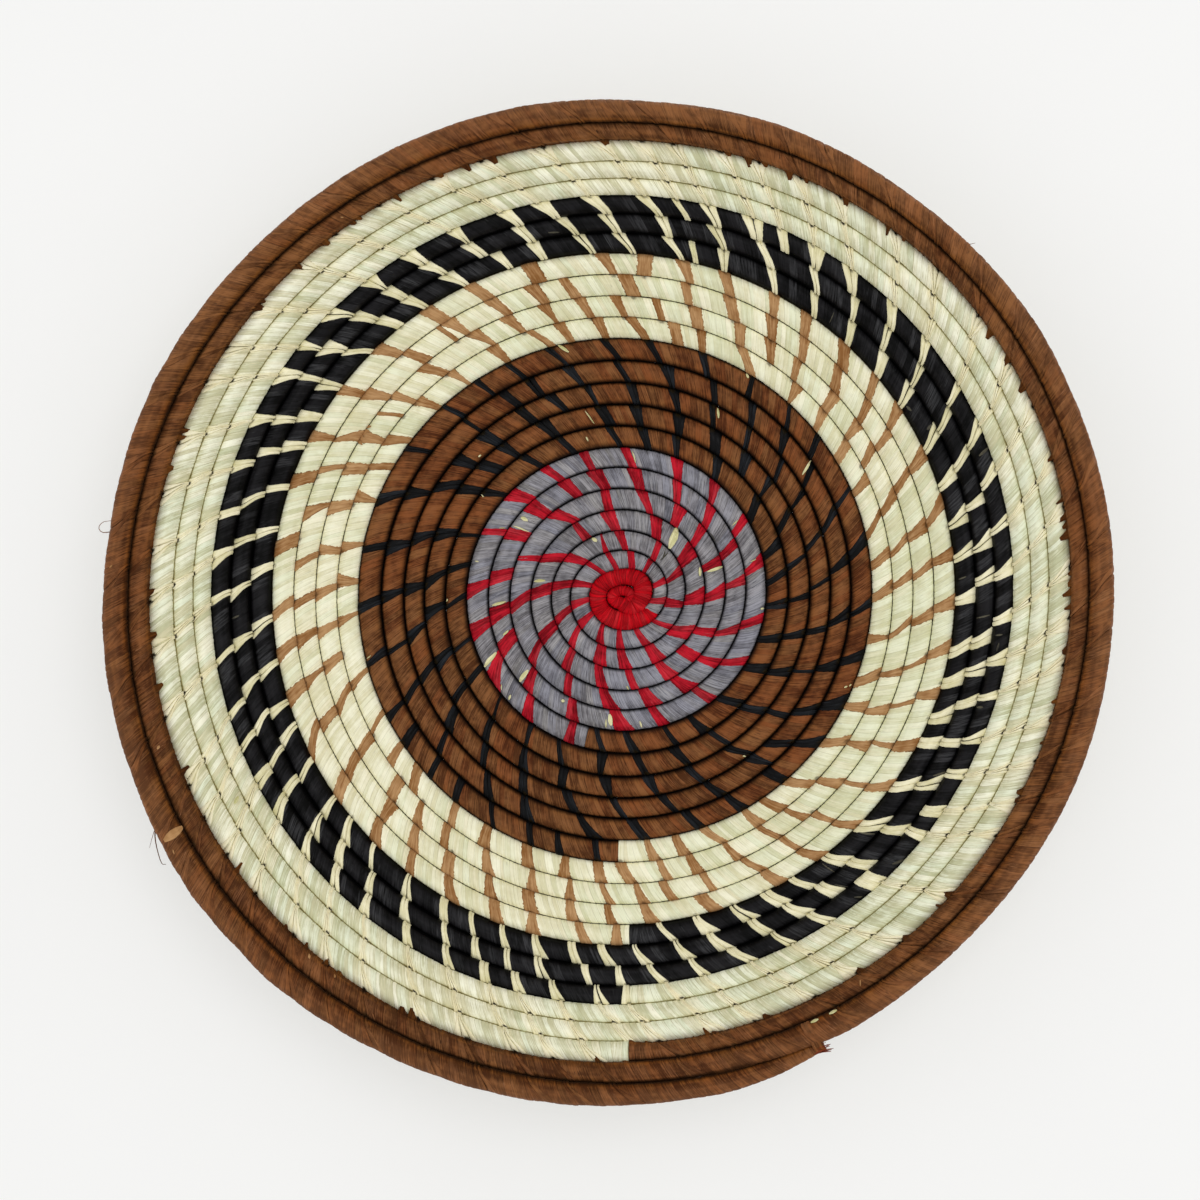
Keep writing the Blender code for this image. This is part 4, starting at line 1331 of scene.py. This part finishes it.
DYES = {
    # dye: the material's name, then dark, light, bleached-and-highlight and crevice shade colours
    "red": raffia(
        "red_raffia", (106, 0, 12), (202, 24, 44), (218, 84, 92), (20, 0, 3),
        outer_start=0.84, inner_start=0.74, groove=0.7, fibre_contrast=0.9, slits=0.5, holes=0.0,
    ),
    "knot": raffia(
        "red_knot_raffia", (128, 0, 8), (216, 0, 22), (226, 74, 78), (26, 0, 2),
        outer_start=0.84, inner_start=0.74, groove=0.6, fibre_contrast=1.0, slits=0.5, ribs=0.0,
    ),
    "grey": raffia(
        "grey_raffia", (92, 89, 92), (164, 161, 165), (184, 180, 168), (4, 4, 6),
        outer_start=0.86, inner_start=0.58, inner_end=0.96, fibre_contrast=1.1, fibres=7.0,
        strip_contrast=0.45, slits=1.2, tint=(238, 243, 255), tint_share=0.8, holes=0.3,
    ),
    "brown": raffia(
        "brown_raffia", (76, 42, 18), (136, 88, 50), (150, 104, 62), (14, 5, 1),
        outer_start=0.74, inner_start=0.36, inner_end=0.94, groove=0.5, fibre_contrast=1.3,
        fibres=7.0, strip_contrast=0.7, blotch_contrast=0.9, slits=1.0, tint=(250, 226, 212),
        warm_side=0.3,
    ),
    "cream": raffia(
        "cream_raffia", (224, 218, 178), (255, 252, 224), (255, 242, 212), (56, 46, 18),
        outer_start=0.90, outer_end=0.95, inner_start=0.94, groove=0.25, fibre_contrast=0.8,
        strip_contrast=0.8, tied=(252, 234, 194), tie_tint=0.4, slits=0.35, tint=(243, 248, 244),
    ),
    "black": raffia(
        "black_raffia", (6, 6, 6), (31, 30, 32), (74, 74, 76), (1, 1, 1), roughness=0.5,
        specular=0.07, outer_start=0.80, inner_start=0.0, inner_end=0.80, fibre_contrast=0.9,
        bleach=0.7, strip_contrast=0.7, holes=0.0, ribs=0.5,
    ),
    "pale": raffia(
        "pale_raffia", (208, 204, 166), (255, 254, 230), (252, 238, 204), (150, 138, 84),
        outer_start=0.88, outer_end=0.95, inner_start=0.92, groove=0.55, fibre_contrast=1.35,
        fibres=6.0, strip_contrast=1.05, tied=(252, 238, 196), tie_tint=0.4, slits=0.7,
        tint=(240, 246, 242), holes=1.0,
    ),
    "rim": raffia(
        "rim_raffia", (72, 40, 16), (137, 88, 48), (164, 112, 74), (20, 7, 0), sheen=0.15,
        outer_start=0.82, inner_start=0.3, inner_end=0.9, groove=0.6, fibre_contrast=1.25,
        fibres=8.0, blotch_contrast=0.7, strip_contrast=0.55, slits=1.2, glints=0.9, dark_lot=0.22,
        tied=(66, 36, 18), tie_tint=0.35, tint=(250, 226, 212), tint_share=0.6, free_side=0.15,
        warm_side=1.0, ribs=0.7,
    ),
    "tan": raffia(
        "tan_raffia", (140, 94, 50), (190, 148, 102), (210, 170, 122), (40, 22, 6),
        outer_start=0.93, groove=0.6, fibre_contrast=0.9,
    ),
    "ink": raffia(
        "black_stitch_raffia", (6, 6, 6), (18, 18, 20), (56, 62, 70), (1, 1, 1), roughness=0.42,
        specular=0.08, outer_start=0.78, inner_start=0.60, fibre_contrast=1.0, bleach=0.4, ribs=0.0,
    ),
    "stitch_cream": raffia(
        "cream_stitch_raffia", (214, 206, 158), (255, 248, 214), (255, 246, 212), (60, 48, 20),
        outer_start=0.93, outer_end=0.97, inner_start=0.90, groove=0.5, fibre_contrast=0.7,
        slits=0.4,
    ),
    "fan_cream": raffia(
        "pale_stitch_raffia", (234, 224, 182), (255, 250, 220), (252, 240, 202), (110, 92, 44),
        outer_start=0.93, outer_end=0.97, inner_start=0.92, groove=0.8, fibre_contrast=0.6,
        bleach=0.7, holes=1.0,
    ),
    "straw": raffia(
        "straw_raffia", (190, 186, 128), (236, 230, 184), (240, 230, 190), (120, 110, 60),
        bump=0.1, fibre_contrast=1.3, groove=0.0, slits=0.0, ribs=0.0, glints=0.0,
        outer_start=1.0, outer_end=1.1, inner_start=1.0, inner_end=1.1,
    ),
    "light_tan": raffia(
        "light_tan_raffia", (150, 106, 62), (190, 146, 98), (204, 160, 112), (70, 44, 20),
        groove=0.2,
    ),
    "glint_and_smudge": raffia("glint_and_smudge_raffia", (48, 46, 42), (100, 96, 80), (120, 112, 90), (30, 28, 24)),
    "tuft": raffia("tuft_raffia", (96, 34, 18), (140, 60, 34), (160, 80, 48), (20, 6, 2)),
    "stems": raffia(
        "grass_stems", (150, 124, 74), (190, 164, 112), (200, 180, 130), (60, 46, 24),
        roughness=0.8,
    ),
}
FINISH = {
    # piece: dye, and the name of its material slot, which nothing here reads
    wraps["centre_knot"]: ("knot", "red_raffia"),
    wraps["grey_wrap"]: ("grey", "grey_raffia"),
    wraps["inner_brown_wrap"]: ("brown", "brown_raffia"),
    wraps["inner_cream_wrap"]: ("cream", "cream_raffia"),
    wraps["black_wrap"]: ("black", "black_raffia"),
    wraps["outer_cream_wrap"]: ("pale", "pale_raffia"),
    wraps["rim_wrap"]: ("rim", "rim_raffia"),
    ties["red"]: ("red", "red_raffia"),
    ties["black"]: ("ink", "black_raffia"),
    ties["tan"]: ("tan", "brown_raffia"),
    ties["cream"]: ("stitch_cream", "cream_raffia"),
    ties["pale"]: ("fan_cream", "pale_raffia"),
    ties["rim"]: ("rim", "rim_raffia"),
    bits["straw"]: ("straw", "pale_raffia"),
    bits["tan"]: ("light_tan", "rim_raffia"),
    bits["glint_and_smudge"]: ("glint_and_smudge", "black_raffia"),
    bits["tuft"]: ("tuft", "rim_raffia"),
    bits["loose"]: ("rim", "rim_raffia"),
    binding: ("rim", "rim_raffia"),
    stems: ("stems", "grass_stems"),
}
for piece, (dye, slot) in FINISH.items():
    piece.data.materials.append(DYES[dye])
print("finished pieces:", len(FINISH))

# %% [markdown]
# ## The table and the light
# The photograph was taken on a white table under large soft lamps: the shadow beside the rim
# is faint, and a little stronger towards the bottom left. A white sky gives most of the light,
# and one large lamp, above and to the right, gives the shadow its side.

# %% Table
TABLE_GLOW = 0.76  # the photograph's shadows are lifted: the table gives this much light itself


def paper():
    """A pale, very slightly uneven table top."""
    material, tree, shader = start_material("white_table")
    position = add(tree, "ShaderNodeTexCoord").outputs["Object"]
    inputs = {"Vector": position, "Scale": 6.0, "Detail": 4.0}
    grain = add(tree, "ShaderNodeTexNoise", inputs).outputs[0]
    colour = blend_colour(tree, grain, linear(192, 192, 191), linear(196, 196, 195))
    tree.links.new(colour, shader["Base Color"])
    tree.links.new(colour, shader["Emission Color"])
    shader["Emission Strength"].default_value = TABLE_GLOW
    shader["Roughness"].default_value = 0.9
    shader["Specular IOR Level"].default_value = 0.1
    return material


bm = bmesh.new()
bmesh.ops.create_grid(bm, x_segments=8, y_segments=8, size=5.0)
table_mesh = bpy.data.meshes.new("table")
bm.to_mesh(table_mesh)
bm.free()
table_mesh.materials.append(paper())
table = link("table", table_mesh)
print("table:", len(table_mesh.polygons), "faces, no part of the basket")

# %% Light
world = bpy.data.worlds.new("white_sky")
world.use_nodes = True
sky = world.node_tree.nodes["Background"].inputs
sky["Color"].default_value = (1.0, 1.0, 1.0, 1.0)
sky["Strength"].default_value = 0.80
scene.world = world
lamp_data = bpy.data.lights.new("soft_lamp", "AREA")
lamp_data.shape = "DISK"
lamp_data.size = 1.2
lamp_data.energy = 8.0
lamp = link("soft_lamp", lamp_data)
lamp.location = (0.45, 0.42, 2.0)
lamp.rotation_euler = (math.radians(-11.5), math.radians(12.5), 0.0)
print("lamp:", lamp_data.energy, "W")
